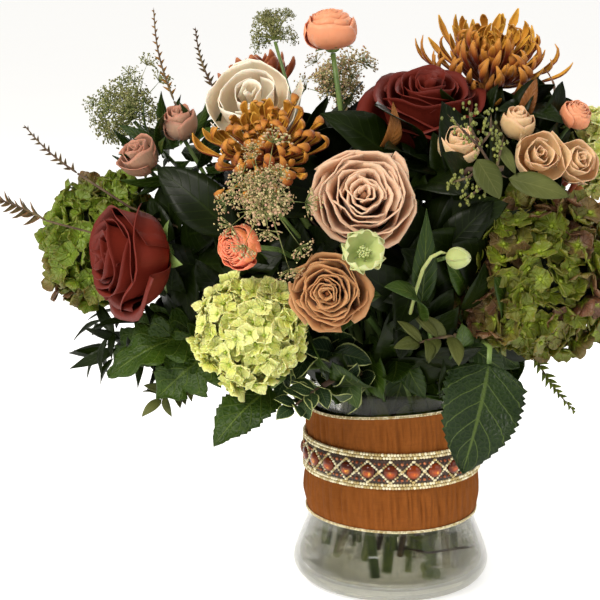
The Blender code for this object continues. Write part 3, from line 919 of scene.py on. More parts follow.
def dressed_frond(name, finish, slot, seed, pairs, tooth, wide):
    """A thin rib with short pointed teeth on both sides, like the backbone of a fish."""
    spot, chance, bouquet = Blade(name), random.Random(seed), Bouquet()
    reach = spot.tip - spot.base
    run, side_way, _ = axes(reach, spot.face)
    sway = chance.uniform(0.04, 0.08) * chance.choice((-1, 1))
    points = [spot.base + reach * (step / 24)
              + side_way * sway * reach.length * math.sin(math.pi * step / 24) for step in range(25)]
    for index in range(pairs * 2):
        share = 0.06 + 0.92 * (index + 0.5) / (pairs * 2)
        place = points[min(24, round(share * 24))]
        hand = 1 if index % 2 else -1
        way = (run * 0.8 + side_way * hand + spot.face * chance.uniform(-0.3, 0.4)).normalized()
        size = tooth * (1.1 - 0.7 * share) * chance.uniform(0.8, 1.15)
        leaf_sheet(bouquet, place, place + way * size, wide * (1.1 - 0.5 * share), spot.face, tapering,
                   3, 2, fold=0.3, arch=0.12, tone=chance.random(), chance=chance)
    girths = [0.0006 * (1 - 0.03 * step) for step in range(23)]
    bouquet.tube(points, [0, *girths, 0], 5, material=1)
    return bouquet.dress(name, LEAF_ROWS, "_blade", [finish, stem_brown], slot, thickness=0.0004,
                         stalk=stem_brown, slim=FROND_SLIM)


TOOTHED = {"outline": heart_shape, "rows": 36, "columns": 8, "teeth": 12}
LOBED = {"outline": lobed, "rows": 36, "columns": 8}
dressed_leaf("leaf_glossy_left", dark_leaf, "leaf_dark", 71, arch=0.14)
dressed_leaf("leaf_centre_tall", green_leaf, "leaf_green", 72, outline=lance)
dressed_leaf("leaf_centre_dark", dark_leaf, "leaf_dark", 73)
dressed_leaf("leaf_centre_low", green_leaf, "leaf_green", 74, arch=0.15)
dressed_leaf("hydrangea_leaf_right", blue_leaf, "leaf_dark", 75, outline=heart_shape, rows=45,
             columns=10, teeth=15, cut=0.13, wave=0.05)
dressed_leaf("hydrangea_leaf_left", bright_leaf, "leaf_dark", 76, **TOOTHED, cut=0.16, wave=0.05)
dressed_leaf("oak_leaf_left", bright_leaf, "leaf_green", 77, **LOBED, wave=0.06)
for name, finish, slot, seed, pairs, tooth, wide in (
        ("frond_left_low", frond_leaf, "leaf_frond", 78, 11, 0.0130, 0.0020),
        ("frond_left_high", frond_leaf, "leaf_frond", 79, 9, 0.0060, 0.0012),
        ("frond_tall_left", gold_frond, "leaf_frond", 80, 11, 0.0050, 0.0011),
        ("frond_tall_right", frond_leaf, "leaf_frond", 81, 10, 0.0050, 0.0012),
        ("fern_right", frond_green, "leaf_green", 82, 10, 0.0075, 0.0020)):
    dressed_frond(name, finish, slot, seed, pairs, tooth, wide)
dressed_leaf("olive_leaf_right", green_leaf, "leaf_green", 83, outline=lance)
dressed_leaf("copper_leaf", copper_leaf, "leaf_copper", 84, narrow=0.55, arch=0.2, twist=0.8, sway=0.12)
dressed_leaf("leaf_back_left", dark_leaf, "leaf_dark", 85)
dressed_leaf("leaf_back_low", blue_leaf, "leaf_dark", 86, **TOOTHED)
dressed_leaf("leaf_back_right", green_leaf, "leaf_green", 87, **LOBED)
dressed_sprig("eucalyptus_left", sage_leaf, "leaf_sage", 88, 5, 0.022, 0.0040)
dressed_sprig("eucalyptus_centre", sage_leaf, "leaf_sage", 89, 3, 0.026, 0.0052)


def seeded_eucalyptus(name, seed):
    """Two broad smooth leaves and thin forked twigs, with small pointed seeds in clusters."""
    spot, chance, bouquet = Blade(name), random.Random(seed), Bouquet()
    fork, knee = point(58, -92, 300), point(48, -92, 316)
    for base, tip, half in ((point(46, -96, 309), point(60, -103, 285), 0.0088),
                            (point(66, -96, 297), point(104, -101, 286), 0.0082),
                            (point(60, -92, 318), point(70, -98, 300), 0.0040)):
        leaf_sheet(bouquet, base, tip, half, Vector((0.1, -1, 0.5)), rows=12, arch=0.05, wave=0.01,
                   fold=0.1, tone=chance.random(), chance=chance)
    twigs = ((fork, knee, point(27, -92, 337)),
             (knee, point(42, -96, 328), point(40, -98, 342)),
             (knee, point(54, -96, 326), point(54, -98, 338)),
             (fork, point(60, -96, 312), point(62, -98, 324)),
             (point(50, -93, 304), point(40, -96, 297), point(28, -97, 294)),
             (fork, point(48, -96, 290), point(38, -98, 284)))
    for start, middle, end in twigs:
        for index in range(SEEDS):
            share = 2 * (0.4 + 0.6 * index / (SEEDS - 1))
            place = start.lerp(middle, share) if share < 1 else middle.lerp(end, share - 1)
            nudge = scatter(chance, 1) * 0.0046
            size = chance.uniform(0.0006, 0.0010)
            bouquet.ball(place + nudge, (size, size, size * 1.4), chance.random(), 0.5, 2, subdivisions=1)
    for start, middle, end in twigs:
        bouquet.tube([start, start.lerp(middle, 0.5), middle, middle.lerp(end, 0.5), end],
                     [0, 0.0008, 0.0007, 0.0006, 0], 5, material=1)
    bouquet.tube([spot.base, spot.base.lerp(fork, 0.5), fork, point(66, -96, 297)],
                 [0, 0.0012, 0.001, 0], 5, material=1)
    return bouquet.dress(name, LEAF_ROWS, "_sprig", [sage_leaf, stem_brown, seed_green], "leaf_sage",
                         thickness=0.0004, stalk=stem_brown)


seed_green = two_tone("eucalyptus_seed", (84, 90, 34), (128, 132, 58), grain=(900.0, 0.0003),
                      Roughness=0.55)
seeded_eucalyptus("eucalyptus_seeded", 90)
dressed_sprig("pittosporum_low", cream_edged, "leaf_green", 91, 4, 0.018, 0.0058)

# %% [markdown]
# A lace umbel is a firework of stalks: rays part at one point, and each ends in a smaller burst
# with three tiny florets on every thread. The small burst is made in four versions, which are
# stamped on the rays.


# %% Umbels
THREADS = 15


def umbellet(chance):
    """A small burst about 2 units across, its florets as little beads."""
    bouquet = Bouquet()
    for index in range(THREADS):
        up = 1 - 0.8 * (index + 0.5) / THREADS
        end = polar(math.sqrt(1 - up * up), index * GOLDEN_TURN, up * 0.8) * chance.uniform(0.65, 1.1)
        made = bmesh.ops.create_cone(bouquet.mesh, cap_ends=True, segments=3, radius1=0.03,
                                     radius2=0.025, depth=end.length)["verts"]
        halfway = Matrix.Translation((0, 0, end.length / 2))
        bmesh.ops.transform(bouquet.mesh, verts=made, matrix=turn_to(end) @ halfway)
        bouquet.mark(made, 0.5, 0.2)
        for face in faces_of(made):
            face.material_index = 1
        for _ in range(3):
            nudge = scatter(chance, 0.2)
            size = chance.uniform(0.05, 0.11)
            bouquet.ball(end + nudge, (size, size, size * 0.7), chance.random(), chance.random(),
                         subdivisions=1)
    return bouquet.template("umbellet")


def umbel(name, rays, spread, finish, seed, loose, strays=()):
    """A head of rays. Strays are extra rays that end outside it, each given as its end."""
    head, chance, bouquet = Head(name, DISC_ROWS), random.Random(seed), Bouquet()
    templates = [umbellet(chance) for _ in range(4)]
    ends = []
    for index in range(rays):
        share = math.sqrt((index + 0.5) / rays)
        turn = index * GOLDEN_TURN + chance.uniform(-0.3, 0.3)
        out = share * head.radius * chance.uniform(1 - loose, 1.05)
        up = head.height * (0.95 - 0.35 * share ** 2 + chance.uniform(-2 * loose, loose))
        ends.append(polar(out, turn, up))
    ends += [head.matrix().inverted() @ (Vector(stray) * MM) for stray in strays]
    stalks = []
    for end in ends:
        middle = Vector((end.x * 0.5, end.y * 0.5, end.z * 0.62))
        stalks.append([Vector((0, 0, 0)), middle * 0.5, middle, end])
        way = (end - middle).normalized()
        size = spread * chance.uniform(0.7, 1.3)
        matrix = Matrix.Translation(end - way * size * 0.5) @ turn_to(way)
        bouquet.stamp(chance.choice(templates), matrix @ Matrix.Diagonal((size, size, size, 1)))
    for stalk in stalks:
        bouquet.tube(stalk, [0.0006, 0.0005, 0.0004, 0], 4, material=1)
    return bouquet.dress(name, DISC_ROWS, "_lace", [finish, lace_stalk], "umbel_lace", head.matrix())


lace = petal_finish("lace_floret", (150, 140, 88), (196, 184, 134), (188, 136, 122),
                    (164, 120, 100), rim_start=0.7, rim_share=0.7, roughness=0.8, sheen=0.0)
olive_lace = petal_finish("olive_lace_floret", (92, 100, 50), (130, 134, 84), (150, 140, 100),
                          (96, 92, 60), rim_start=0.7, roughness=0.8, sheen=0.0)
lace_stalk = two_tone("lace_stalk", (104, 118, 58), (142, 142, 84), 60.0, band=(0.4, 0.6),
                      Roughness=0.6)
umbel("umbel_front", 27, 0.0088, lace, 101, 0.5, strays=[
    (-62, -140, 258), (-70, -138, 243), (-56, -128, 286), (-100, -140, 258), (-110, -132, 270),
    (-84, -142, 268), (-94, -128, 322), (-80, -126, 328)])
umbel("umbel_upper", 32, 0.0092, lace, 102, 0.5)
umbel("umbel_top", 26, 0.0070, olive_lace, 103, 0.4)
umbel("umbel_left", 32, 0.0092, olive_lace, 104, 0.45, strays=[
    (-212, 30, 332), (-206, 44, 316), (-196, 36, 306), (-170, 44, 362), (-182, 28, 356),
    (-160, 44, 350)])

# %% [markdown]
# The hellebore is one open pale green flower and one nodding bud. Five broad bowls of petal
# stand round a tuft of stamens, and five sepals close into an egg on a stalk that bends over.


# %% Hellebore
apple = petal_finish("hellebore_petal", (168, 182, 100), (178, 186, 120), (196, 200, 150),
                     (146, 158, 90), sheen=0.2, glow=0.1)
PETALS, STAMENS = 5, 22
OPENNESS = 0.85


def open_hellebore(name, seed):
    head, chance, bouquet = Head(name, DISC_ROWS), random.Random(seed), Bouquet()
    radius, height = head.radius, head.height
    for index in range(PETALS):
        turn = TAU * index / PETALS + chance.uniform(-0.1, 0.1)
        lift = 1 + 0.05 * (index % 2)

        def petal(along, across):
            swell = math.sin(math.pi * min(1, 0.12 + 0.85 * along) ** 1.3) ** 0.6
            out = radius * OPENNESS * (0.12 + math.sin(math.pi / 2 * along)) * lift
            out -= radius * 0.28 * across ** 2 * along
            up = height * (along ** 1.5 * (1.15 - 0.4 * OPENNESS) + 0.12 * across ** 2)
            return Matrix.Rotation(turn, 3, "Z") @ Vector((out, radius * 0.9 * swell * across, up))
        bouquet.sheet(10, 8, petal, tone=chance.random())
    for index in range(STAMENS):
        spot = polar(radius * 0.3 * math.sqrt(index / STAMENS), index * GOLDEN_TURN,
                     height * chance.uniform(0.35, 0.55))
        bouquet.ball(spot, [radius * 0.05] * 3, 0.0, 0.9, subdivisions=1)
    return bouquet.dress(name, DISC_ROWS, "_petals", [apple], "petals_apple", head.matrix(), 0.0004)


def closed_hellebore(name, droop, seed):
    """An egg of overlapping sepals, drawn to a point."""
    head, chance, bouquet = Head(name, CUP_ROWS), random.Random(seed), Bouquet()
    for index in range(PETALS):
        turn, wave = TAU * index / PETALS, chance.uniform(0.97, 1.03)

        def sepal(along, across):
            swell = math.sin(math.pi * min(1, 0.03 + 0.96 * along ** 0.85)) ** 0.7
            out = head.radius * 0.95 * wave * swell * (1 + 0.05 * across)
            return polar(out, turn + across * TAU / PETALS * 0.62, head.height * 1.15 * along)
        bouquet.sheet(12, 6, sepal, tone=chance.uniform(0.3, 0.6))
    matrix = head.matrix() @ Matrix.Rotation(droop, 4, "Y")
    return bouquet.dress(name, CUP_ROWS, "_petals", [apple], "petals_apple", matrix, 0.0004)


open_hellebore("hellebore_open", 111)
closed_hellebore("hellebore_bud", 0.5, 112)
bud_stalk = Bouquet()
bud_stalk.tube([point(2, -104, 200), point(5, -108, 214), point(8, -110, 228), point(12, -112, 242),
                point(17, -113, 250), point(23, -113, 253), point(29, -113, 252)],
               [0, 0.0012, 0.0012, 0.0012, 0.0012, 0.0011, 0], 8)
bud_stalk.piece("bud_stalk", [apple], "petals_apple")
print("hellebore petals and sepals:", 2 * PETALS)

# %% [markdown]
# A florist packs the middle of a bouquet with plain leaves, so that no gap shows through. They
# are set here on a golden spiral over an egg inside the flowers, each leaf leaning outwards.
# Smaller eggs fill the left, the top and the neck, one makes the skirt that falls over the lip of
# the vase, and three big lobed leaves hang at the left.


# %% Filling greenery
def filling(name, count, centre, radii, leaf, half, finish, slot, seed, low=-0.8, high=0.95,
            lean=0.55, droop=0.0, outline=oval, **shape):
    """Leaves over an egg: each starts inside it and ends on it, leaning along its surface."""
    chance, bouquet = random.Random(seed), Bouquet()
    for index in range(count):
        up = lerp(high, low, (index + 0.5) / count)
        turn = index * GOLDEN_TURN + chance.uniform(-0.3, 0.3)
        spot = polar(math.sqrt(1 - up * up), turn, up)
        place = Vector([c + r * s for c, r, s in zip(centre, radii, spot)]) * MM
        along_way = scatter(chance, 1)
        along_way = (along_way - spot * along_way.dot(spot)).normalized()
        way = (spot * (1 - lean) + along_way * lean + UP * (0.25 - droop)).normalized()
        length = leaf * chance.uniform(0.75, 1.2)
        face = (spot + scatter(chance, 0.3)).normalized()
        face = (face - way * face.dot(way)).normalized()
        leaf_sheet(bouquet, place - way * length * 0.55, place + way * length * 0.45,
                   half * length / leaf, face, outline, tone=chance.random(), chance=chance, **shape)
    return bouquet.piece(name, [finish], slot, thickness=0.0004)


filling_total = 0
for name, count, centre, radii, leaf, half, finish, slot, seed, rows, columns, shape in (
        ("filling_leaves", 130, (0, 0, 236), (108, 84, 92), 0.062, 0.0165, dark_leaf, "leaf_dark",
         121, 9, 4, {}),
        ("filling_leaves_outer", 70, (-6, 0, 228), (124, 96, 92), 0.052, 0.0125, dark_leaf, "leaf_dark",
         122, 9, 4, {"low": -0.75, "high": 0.6}),
        ("filling_leaves_green", 46, (-4, 0, 214), (120, 98, 84), 0.048, 0.0115, green_leaf,
         "leaf_green", 123, 9, 4, {"high": 0.3}),
        ("filling_leaves_middle", 34, (22, -16, 280), (34, 40, 28), 0.044, 0.0110, dark_leaf,
         "leaf_dark", 133, 8, 4, {}),
        ("filling_leaves_left", 60, (-128, 6, 232), (42, 56, 44), 0.052, 0.0130, dark_leaf,
         "leaf_dark", 125, 9, 4, {}),
        ("filling_leaves_high_left", 40, (-146, 16, 300), (34, 36, 30), 0.036, 0.0052, green_leaf,
         "leaf_green", 126, 7, 4, {"lean": 0.3, "outline": lance}),
        ("hanging_leaves_left", 46, (-176, 4, 168), (40, 40, 26), 0.030, 0.0038, dark_leaf,
         "leaf_dark", 127, 7, 4, {"lean": 0.4, "droop": 0.6, "outline": lance}),
        ("neck_leaves", 44, (0, 0, 130), (43, 43, 26), 0.032, 0.0060, vase_leaf_painted_light, "leaf_green",
         128, 7, 4, {"lean": 0.7, "outline": lance}),
        ("skirt_leaves", 44, (0, 0, 196), (92, 80, 52), 0.046, 0.0125, green_leaf, "leaf_green",
         124, 10, 6, {"low": -0.92, "high": -0.45, "lean": 0.35, "droop": 0.55, "wave": 0.08}),
        ("filling_leaves_high_right", 34, (86, 14, 318), (32, 30, 22), 0.040, 0.0085, dark_leaf,
         "leaf_dark", 131, 8, 4, {"lean": 0.6}),
        ("copper_leaves_high_right", 6, (84, 14, 336), (36, 22, 14), 0.030, 0.0048, copper_leaf,
         "leaf_copper", 132, 8, 4, {"lean": 0.7}),
        ("pittosporum_leaves", 22, (-50, -64, 164), (30, 18, 22), 0.026, 0.0080, cream_edged,
         "leaf_green", 129, 9, 8, {"lean": 0.5, "droop": 0.3, "wave": 0.06})):
    filling(name, count, centre, radii, leaf, half, finish, slot, seed, rows=rows, columns=columns, **shape)
    filling_total += count

big_leaves, chance = Bouquet(), random.Random(130)
for base, tip, half in ((point(-122, -44, 186), point(-184, -52, 172), 0.024),
                        (point(-118, -50, 180), point(-160, -66, 146), 0.028),
                        (point(-150, -10, 190), point(-196, -10, 150), 0.020)):
    leaf_sheet(big_leaves, base, tip, half, Vector((-0.2, -1, 0.3)), lobed, rows=44, columns=10, teeth=11,
               cut=0.14, wave=0.06, tone=chance.random(), chance=chance)
big_leaves.piece("lobed_leaves_left", [bright_leaf], "leaf_green", thickness=0.0004)
print("filling leaves:", filling_total)

# %% [markdown]
# The vase is thick clear glass. Its wall is one closed outline, swept round by a spin, so the
# light bends through it as it does through the real one. The water is a second closed body whose
# side stands a hair inside the glass, so that no thin film of air is left to flash silver.


# %% Glass and water
def turned(name, outline, finishes, slot, nodes=(), steps=128):
    """A closed (radius, height) outline spun once round the vase's axis."""
    body = Bouquet()
    corners = [body.mesh.verts.new((radius * MM, 0, height * MM)) for radius, height in outline]
    edges = [body.mesh.edges.new((a, b)) for a, b in zip(corners, corners[1:] + corners[:1])
             if a.co.x > 0 or b.co.x > 0]
    bmesh.ops.spin(body.mesh, geom=corners + edges, cent=(0, 0, 0), axis=(0, 0, 1), angle=TAU,
                   steps=steps, use_merge=True)
    bmesh.ops.remove_doubles(body.mesh, verts=body.mesh.verts, dist=1e-6)
    bmesh.ops.recalc_face_normals(body.mesh, faces=body.mesh.faces)
    return body.piece(name, finishes, slot, nodes)


def softened(outline):
    """Cuts every corner of an open outline twice over, which turns it into a flowing line."""
    for _ in range(2):
        eased = [outline[0]]
        for (r0, z0), (r1, z1) in zip(outline, outline[1:]):
            eased += [(lerp(r0, r1, share), lerp(z0, z1, share)) for share in (0.25, 0.75)]
        outline = eased + [outline[-1]]
    return outline


vase_low, vase_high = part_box("glass_vase")
VASE_TOP = vase_high.z / MM
BELLY = vase_high.x / MM
NECK = 57.6
INNER_NECK = NECK - 3.4
INNER_BELLY = BELLY - 3.4
FLOOR_GLASS = 8.5
WATER_TOP = 122.0
outer = [(0.0, 0.0), (BELLY - 14, 0.0), (BELLY - 5.5, 2.0), (BELLY - 0.3, 9.0), (BELLY, 15.0),
         (BELLY - 2.5, 23.0), (NECK + 5.5, 33.0), (NECK + 1.4, 43.0), (NECK, 52.0), (NECK, 100.0),
         (NECK, 136.0), (NECK + 1.0, VASE_TOP - 1.6), (NECK - 0.2, VASE_TOP)]
inner = [(INNER_NECK + 0.6, VASE_TOP - 0.4), (INNER_NECK + 0.4, VASE_TOP - 3.0), (INNER_NECK, 136.0),
         (INNER_NECK, 100.0), (INNER_NECK, 52.0), (INNER_NECK + 1.4, 43.0), (INNER_NECK + 5.0, 33.5),
         (INNER_BELLY - 3.0, 23.0), (INNER_BELLY - 0.8, 15.5), (BELLY - 8.0, 10.5),
         (BELLY - 16.0, FLOOR_GLASS), (0.0, FLOOR_GLASS)]
# The glass and the water are tinted a dark olive grey: partly their own tint, and partly painted shade that
# stands in for dark reflections.
glass = two_tone("clear_glass", (116, 112, 80), (140, 136, 104), 8.0, Roughness=0.0, IOR=1.45,
                 Transmission_Weight=1.0, Alpha=0.5)
ripples = glass.node("ShaderNodeMapping", {}, {"Vector": glass.place(), "Scale": (9.0, 9.0, 120.0)})
glass.bump(glass.noise(ripples, 1.0, 2.0), 0.0012)
turned("glass_vase_body", softened(outer) + softened(inner), [glass], "glass", ["glass_vase"])
water = two_tone("water", (122, 118, 76), (146, 142, 98), 20.0, Roughness=0.0, IOR=1.33,
                 Transmission_Weight=1.0, Alpha=0.24)
water_side = [(radius + 0.25, height) for radius, height in softened(inner) if height < WATER_TOP]
water_rim = [(0.0, WATER_TOP), (INNER_NECK - 1.5, WATER_TOP), (INNER_NECK + 0.25, WATER_TOP + 1.2)]
turned("water_body", water_rim + water_side[:-1] + [(0.0, FLOOR_GLASS - 0.2)], [water], "glass")

# Painted light: the cut stems are a lighter green than the stems above, making up for the light that the
# glass holds back.
cut_stem_painted_light = two_tone("cut_stem_painted_light", (96, 124, 40), (140, 156, 70), 90.0, band=(0.35, 0.65),
                    grain=(500.0, 0.0003), Roughness=0.4)
stem_ends, chance = Bouquet(), random.Random(140)
for turn, out, foot, girth, kind in (
        (-2.75, 40, 17, 2.8, 0), (-2.45, 46, 25, 2.4, 1), (-2.2, 32, 19, 2.6, 0), (-2.0, 46, 24, 2.0, 0),
        (-1.85, 38, 30, 2.2, 1), (-1.72, 26, 9, 3.8, 0), (-1.5, 47, 29, 2.2, 1), (-1.3, 36, 13, 2.4, 0),
        (-1.05, 47, 21, 2.6, 0), (-0.85, 38, 26, 2.2, 1), (-0.65, 45, 13, 3.0, 1), (-0.4, 46, 24, 2.4, 0),
        (-0.1, 42, 18, 2.4, 0), (0.4, 42, 20, 2.6, 1), (0.75, 46, 26, 2.2, 0), (1.0, 36, 12, 2.8, 0),
        (1.4, 44, 20, 2.4, 0), (1.8, 42, 16, 2.6, 1), (2.15, 46, 24, 2.2, 0), (2.5, 38, 14, 2.8, 0),
        (2.9, 44, 22, 2.4, 1), (-3.0, 46, 26, 2.2, 0), (1.6, 20, 11, 3.0, 0), (-0.3, 18, 12, 3.0, 1)):
    low = point(out * math.cos(turn) * 1.06, out * math.sin(turn) * 1.06, foot)
    high = point(out * math.cos(turn + 0.3) * 0.8, out * math.sin(turn + 0.3) * 0.8, 84)
    stem_ends.tube([low, low.lerp(high, 0.01), low.lerp(high, 0.5), high, high + UP * 0.0002],
                   [0, girth * MM, girth * MM, girth * MM, 0], 10, material=kind, tone=chance.random())
stem_ends.tube([point(-4, -46, 36), point(24, -46, 31), point(46, -34, 30), point(56, -16, 24),
                point(57, -14, 23)], [0, 0.0009, 0.0009, 0.0008, 0], 6, material=1)
stem_ends.ball(point(9, -44, 31), (0.0028, 0.0028, 0.0045), 0.5, 0.5, 2, subdivisions=2)
for step in range(12):
    root = point(18 + step * 0.8, -45 + 0.5 * step, 46 - step * 2.9)
    tip = root + point(chance.uniform(-10, 10), -1, chance.uniform(-9, -3))
    leaf_sheet(stem_ends, root, tip, 0.0040, Vector((0, -1, 0.2)), rows=7, columns=4,
               tone=chance.random(), material=3, chance=chance)
stem_ends.piece("stem_ends", [cut_stem_painted_light, stem_brown, lime_core, vase_leaf_painted_light], "leaf_green")
print("vase", round(VASE_TOP), "mm tall,", round(2 * BELLY), "mm across its belly")

# %% [markdown]
# The ribbon is one sheet of rust cloth, drawn round the neck and gathered into fine upright
# folds. It is a grid rolled into a sleeve, its folds added by noise of three sizes, flatter where
# the trim holds it. Its upper edge climbs a little to the right, as hand-tied ribbon does.


# %% Ribbon
RIBBON_LOW, RIBBON_HIGH, RIBBON_TILT = 50.4, 131.5, 4.0
HELD_HEIGHT = 94
ribbon_inner = NECK + 0.5
ribbon = Finish("ribbon_cloth", Roughness=0.85, Specular_IOR_Level=0.15)
round_way, up_way, _ = (ribbon.value(layer) for layer in LAYERS)
slub = ribbon.noise(ribbon.vector(round_way * 150.0, up_way * 4.0, 0.0), 1.0, 3.0)
fine = ribbon.noise(ribbon.vector(round_way * 30.0, up_way * 60.0, 0.0), 1.0, 3.0)
cloth = ribbon.mix(slub.rise(0.3, 0.7), (124, 69, 23), (134, 76, 27))
ribbon.feed("Base Color", ribbon.mix(fine.rise(0.4, 0.75) * 0.35, cloth, (106, 57, 20)))
thread = (round_way * 2600.0).sine() * 0.5 + (up_way * 260.0).sine() * 0.5
ribbon.bump(thread * 0.2 + slub * 0.5, 0.0003)


def ribbon_edge(turn, low):
    """The height of the ribbon's lower or upper edge at one place around the neck."""
    if low:
        return RIBBON_LOW + 0.5 * math.sin(2 * turn + 1.0)
    return RIBBON_HIGH + RIBBON_TILT * math.cos(turn) + 0.7 * math.sin(3 * turn)


def ribbon_place(along, across):
    turn, share = along * TAU, (across + 1) / 2
    height = lerp(ribbon_edge(turn, True), ribbon_edge(turn, False), share)
    open_share = min(1.0, 8 * share * (1 - share))
    slanted = turn + 0.10 * (share - 0.5)
    spot = Vector((math.cos(slanted), math.sin(slanted), 0.0))
    fold = 1.9 * noise.noise(spot * 12 + UP * share * 1.6)
    fold += 1.7 * noise.noise(spot * 25 + UP * (share * 2.6 + 5))
    fold += 0.7 * noise.noise(spot * 48 + UP * (share * 4 + 9))
    held = math.exp(-((height - HELD_HEIGHT) / 15) ** 4)
    strength = 1.0 + 0.3 * noise.noise(Vector((math.cos(turn) * 3, math.sin(turn) * 3, share * 2)))
    radius = ribbon_inner + 1.1 + (0.3 + 0.7 * open_share) * (1 - 0.75 * held) * fold * strength
    radius += (1.3 if height < HELD_HEIGHT else 0.3) * open_share * (1 - held)
    return Vector((math.cos(turn) * radius, math.sin(turn) * radius, height)) * MM


sleeve = Bouquet()
made = sleeve.sheet(720, 30, ribbon_place)
bmesh.ops.remove_doubles(sleeve.mesh, verts=made, dist=1e-6)
ribbon_piece = sleeve.piece("ribbon_cloth", [ribbon], "ribbon", ["ribbon_wrap"], thickness=0.0005)
print("ribbon", RIBBON_HIGH - RIBBON_LOW, "mm wide, gathered around", round(TAU * NECK), "mm of neck")

# %% [markdown]
# The trim is a plum tape with a row of amber stones. Around each stone runs a diamond of gold
# beads, and small copper beads fill the corners. Two gold braids, each two rows of beads, edge
# the tape, and two finer rows finish each edge of the ribbon. Every bead is the same small ball
# of thirty-two faces, stamped round the neck.


# %% Trim and beads
STONES = 25
STEP = TAU / STONES
TAPE_LOW, TAPE_MIDDLE, TAPE_HIGH = 85.4, 93.5, 101.6
STONE_RADIUS = 4.9
DIAMOND, CORNER = 7.6, 5.6
TAPE_RADIUS = NECK + 3.3
tape = Finish("tape_weave", Roughness=0.75, Sheen_Weight=0.2)
weave = tape.node("ShaderNodeTexVoronoi", {"feature": "DISTANCE_TO_EDGE"},
                  {"Vector": tape.place(), "Scale": 700.0})
tape.feed("Base Color", tape.mix(weave.rise(0.05, 0.4), (52, 36, 30), (98, 72, 60)))
tape.bump(weave, 0.0004)
gold_bead = two_tone("gold_bead", (186, 164, 108), (244, 236, 202), band=(0.1, 0.9),
                     Metallic=0.1, Roughness=0.3)
copper_bead = two_tone("copper_bead", (132, 62, 36), (198, 130, 92), Metallic=0.7, Roughness=0.3)
# Painted light: each stone glows orange on its lower side, as light shining through amber does, and painted
# glints spark inside that glow.
amber = Finish("amber_stone", Roughness=0.12, Specular_IOR_Level=0.35)
along, across, tone = (amber.value(layer) for layer in LAYERS)
painted_glint = amber.noise(amber.place(), 260.0, 3.0)
painted_glow = (1.0 - along.rise(0.2, 0.85)) * (0.35 - across).rise(0.0, 0.7)
stone = amber.mix(tone, (70, 22, 8), (128, 50, 14))
stone = amber.mix(painted_glow * 0.8, stone, (206, 88, 18))
amber.feed("Base Color", amber.mix(painted_glow * painted_glint.rise(0.5, 0.62), stone, (250, 176, 70)))
tape_outside, tape_inside = TAPE_RADIUS + 0.5, TAPE_RADIUS - 0.2
turned("trim_tape_cloth", [(tape_outside, TAPE_LOW), (tape_outside, TAPE_HIGH), (tape_inside, TAPE_HIGH),
                           (tape_inside, TAPE_LOW)], [tape], "trim_tape", ["trim_tape"], steps=180)


def bead_shape():
    bead = Bouquet()
    made = bmesh.ops.create_uvsphere(bead.mesh, u_segments=8, v_segments=4, radius=1.0)["verts"]
    bead.mark(made, 0.5, 0.5)
    return bead.template("bead")


def around_neck(radius, turn, height, size=1.0):
    """The place of a bead on the neck: its own Z looks outwards."""
    matrix = Matrix.Rotation(turn, 4, "Z") @ Matrix.Translation((radius * MM, 0, height * MM))
    return matrix @ Matrix.Rotation(math.pi / 2, 4, "Y") @ Matrix.Diagonal((*[size * MM] * 3, 1))


def bead_rows(name, rows, nodes=(), pitch=1.75):
    """Rows of gold beads; each is a (radius, bead size, formula of height by turn, offset)."""
    bead, beads, chance = bead_shape(), Bouquet(), random.Random(1)
    for radius, size, height, offset in rows:
        count = round(TAU * radius / (pitch * size))
        for index in range(count):
            turn = TAU * (index + offset) / count
            spot = around_neck(radius, turn, height(turn), size * chance.uniform(0.92, 1.08))
            beads.stamp(bead, spot, chance.random())
    return beads.piece(name, [gold_bead], "braid_gold", nodes)


for name, low in (("braid_lower", 81.4), ("braid_upper", 102.4)):
    bead_rows(name + "_beads", [
        (TAPE_RADIUS + 0.7, 1.2, lambda turn: low + 0.9, 0.0),
        (TAPE_RADIUS + 0.7, 1.2, lambda turn: low + 3.1, 0.5)], [name])
bead_rows("ribbon_edge_beads", [
    (ribbon_inner + 2.0, 0.62, lambda turn: ribbon_edge(turn, True) + 0.2, 0.0),
    (ribbon_inner + 2.0, 0.62, lambda turn: ribbon_edge(turn, False) - 0.2, 0.0),
    (ribbon_inner + 2.2, 0.5, lambda turn: ribbon_edge(turn, True) + 1.2, 0.5),
    (ribbon_inner + 2.2, 0.5, lambda turn: ribbon_edge(turn, False) - 1.2, 0.5)], pitch=1.9)

stones, chance = Bouquet(), random.Random(5)
along_layer, across_layer, _ = stones.layers
for index in range(STONES):
    turn = TAU * (index + 0.5) / STONES
    made = stones.ball((0, 0, 0), (1, 1, 1), chance.random(), subdivisions=3)
    # across runs up each stone, which puts the painted glow on its lower side.
    for vert in made:
        vert[along_layer] = math.hypot(vert.co.x, vert.co.y)
        vert[across_layer] = -vert.co.x
        vert.co.z = vert.co.z * 0.5
    bmesh.ops.transform(stones.mesh, verts=made, matrix=around_neck(
        TAPE_RADIUS + 1.2, turn, TAPE_MIDDLE, STONE_RADIUS))
stones.piece("amber_stones", [amber], "trim_tape")

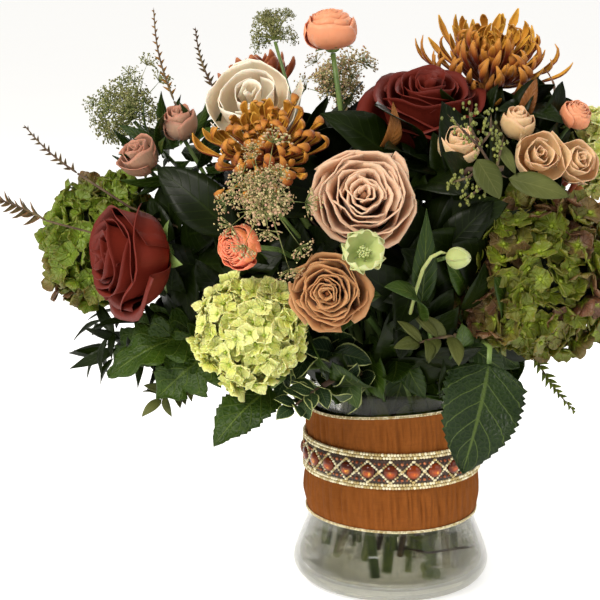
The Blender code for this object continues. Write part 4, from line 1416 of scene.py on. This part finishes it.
lattice, copper, bead = Bouquet(), Bouquet(), bead_shape()
for index in range(STONES):
    turn = TAU * (index + 0.5) / STONES
    for side in (-1, 1):
        for hand in (-1, 1):
            for share in (0.06, 0.24, 0.42, 0.60, 0.78, 0.94):
                height = TAPE_MIDDLE + side * DIAMOND * (1 - share) + chance.uniform(-0.3, 0.3)
                spot = around_neck(TAPE_RADIUS + 1.1, turn + hand * STEP / 2 * share, height,
                                   chance.uniform(0.85, 1.1))
                lattice.stamp(bead, spot, chance.random())
    for side in (-1, 1):
        for nudge, size in ((0.0, 1.25), (0.22, 0.8), (-0.2, 0.7)):
            spot = around_neck(TAPE_RADIUS + 1.0, turn + STEP * (0.5 + nudge),
                               TAPE_MIDDLE + side * CORNER, size)
            copper.stamp(bead, spot, chance.random())
    lattice.stamp(bead, around_neck(TAPE_RADIUS + 1.3, turn + STEP / 2, TAPE_MIDDLE), chance.random())
lattice.piece("lattice_beads", [gold_bead], "braid_gold")
copper.piece("copper_beads", [copper_bead], "trim_tape")
print("stones:", STONES)

# %% [markdown]
# The studio is plain: a pale floor that glows a little, a warm pale sky, one strong soft light
# from the upper left, a small low one beside it that draws a highlight on the glass like a
# window's, and weak ones from the right and from behind.

# %% Studio
floor_finish = two_tone("studio_floor", (240, 240, 239), (244, 244, 243), 3.0, Roughness=0.9,
                        Emission_Color=(1, 1, 1, 1), Emission_Strength=0.55)
floor = Bouquet()
floor.sheet(1, 1, lambda along, across: Vector(((along - 0.5) * 60, across * 30, 0)))
floor_mesh = floor.template("studio_floor")
floor_mesh.materials.append(floor_finish.material)
floor_object = bpy.data.objects.new("studio_floor", floor_mesh)
bpy.context.scene.collection.objects.link(floor_object)

world = bpy.data.worlds.new("studio")
world.use_nodes = True
sky = world.node_tree.nodes["Background"]
sky.inputs["Color"].default_value = (1.0, 0.975, 0.92, 1.0)
sky.inputs["Strength"].default_value = 0.47
bpy.context.scene.world = world


def softbox(name, place, target, size, power, colour=(1, 1, 1)):
    lamp = bpy.data.lights.new(name, "AREA")
    lamp.size, lamp.energy, lamp.color = size, power, colour
    light = bpy.data.objects.new(name, lamp)
    light.location = place
    light.rotation_euler = (Vector(place) - Vector(target)).to_track_quat("Z", "Y").to_euler()
    bpy.context.scene.collection.objects.link(light)


softbox("key_light", (-1.2, -1.2, 1.7), (0, 0, 0.2), 0.7, 39, (1.0, 0.95, 0.86))
softbox("window_light", (-0.62, -1.35, 0.95), (0, 0, 0.05), 0.34, 5, (1.0, 0.98, 0.94))
softbox("fill_light", (1.5, -1.0, 0.8), (0, 0, 0.2), 1.2, 6)
softbox("back_light", (0.6, 1.5, 1.3), (0, 0, 0.2), 1.2, 14)
bpy.context.scene.view_settings.view_transform = "Standard"
bpy.context.scene.view_settings.look = "None"
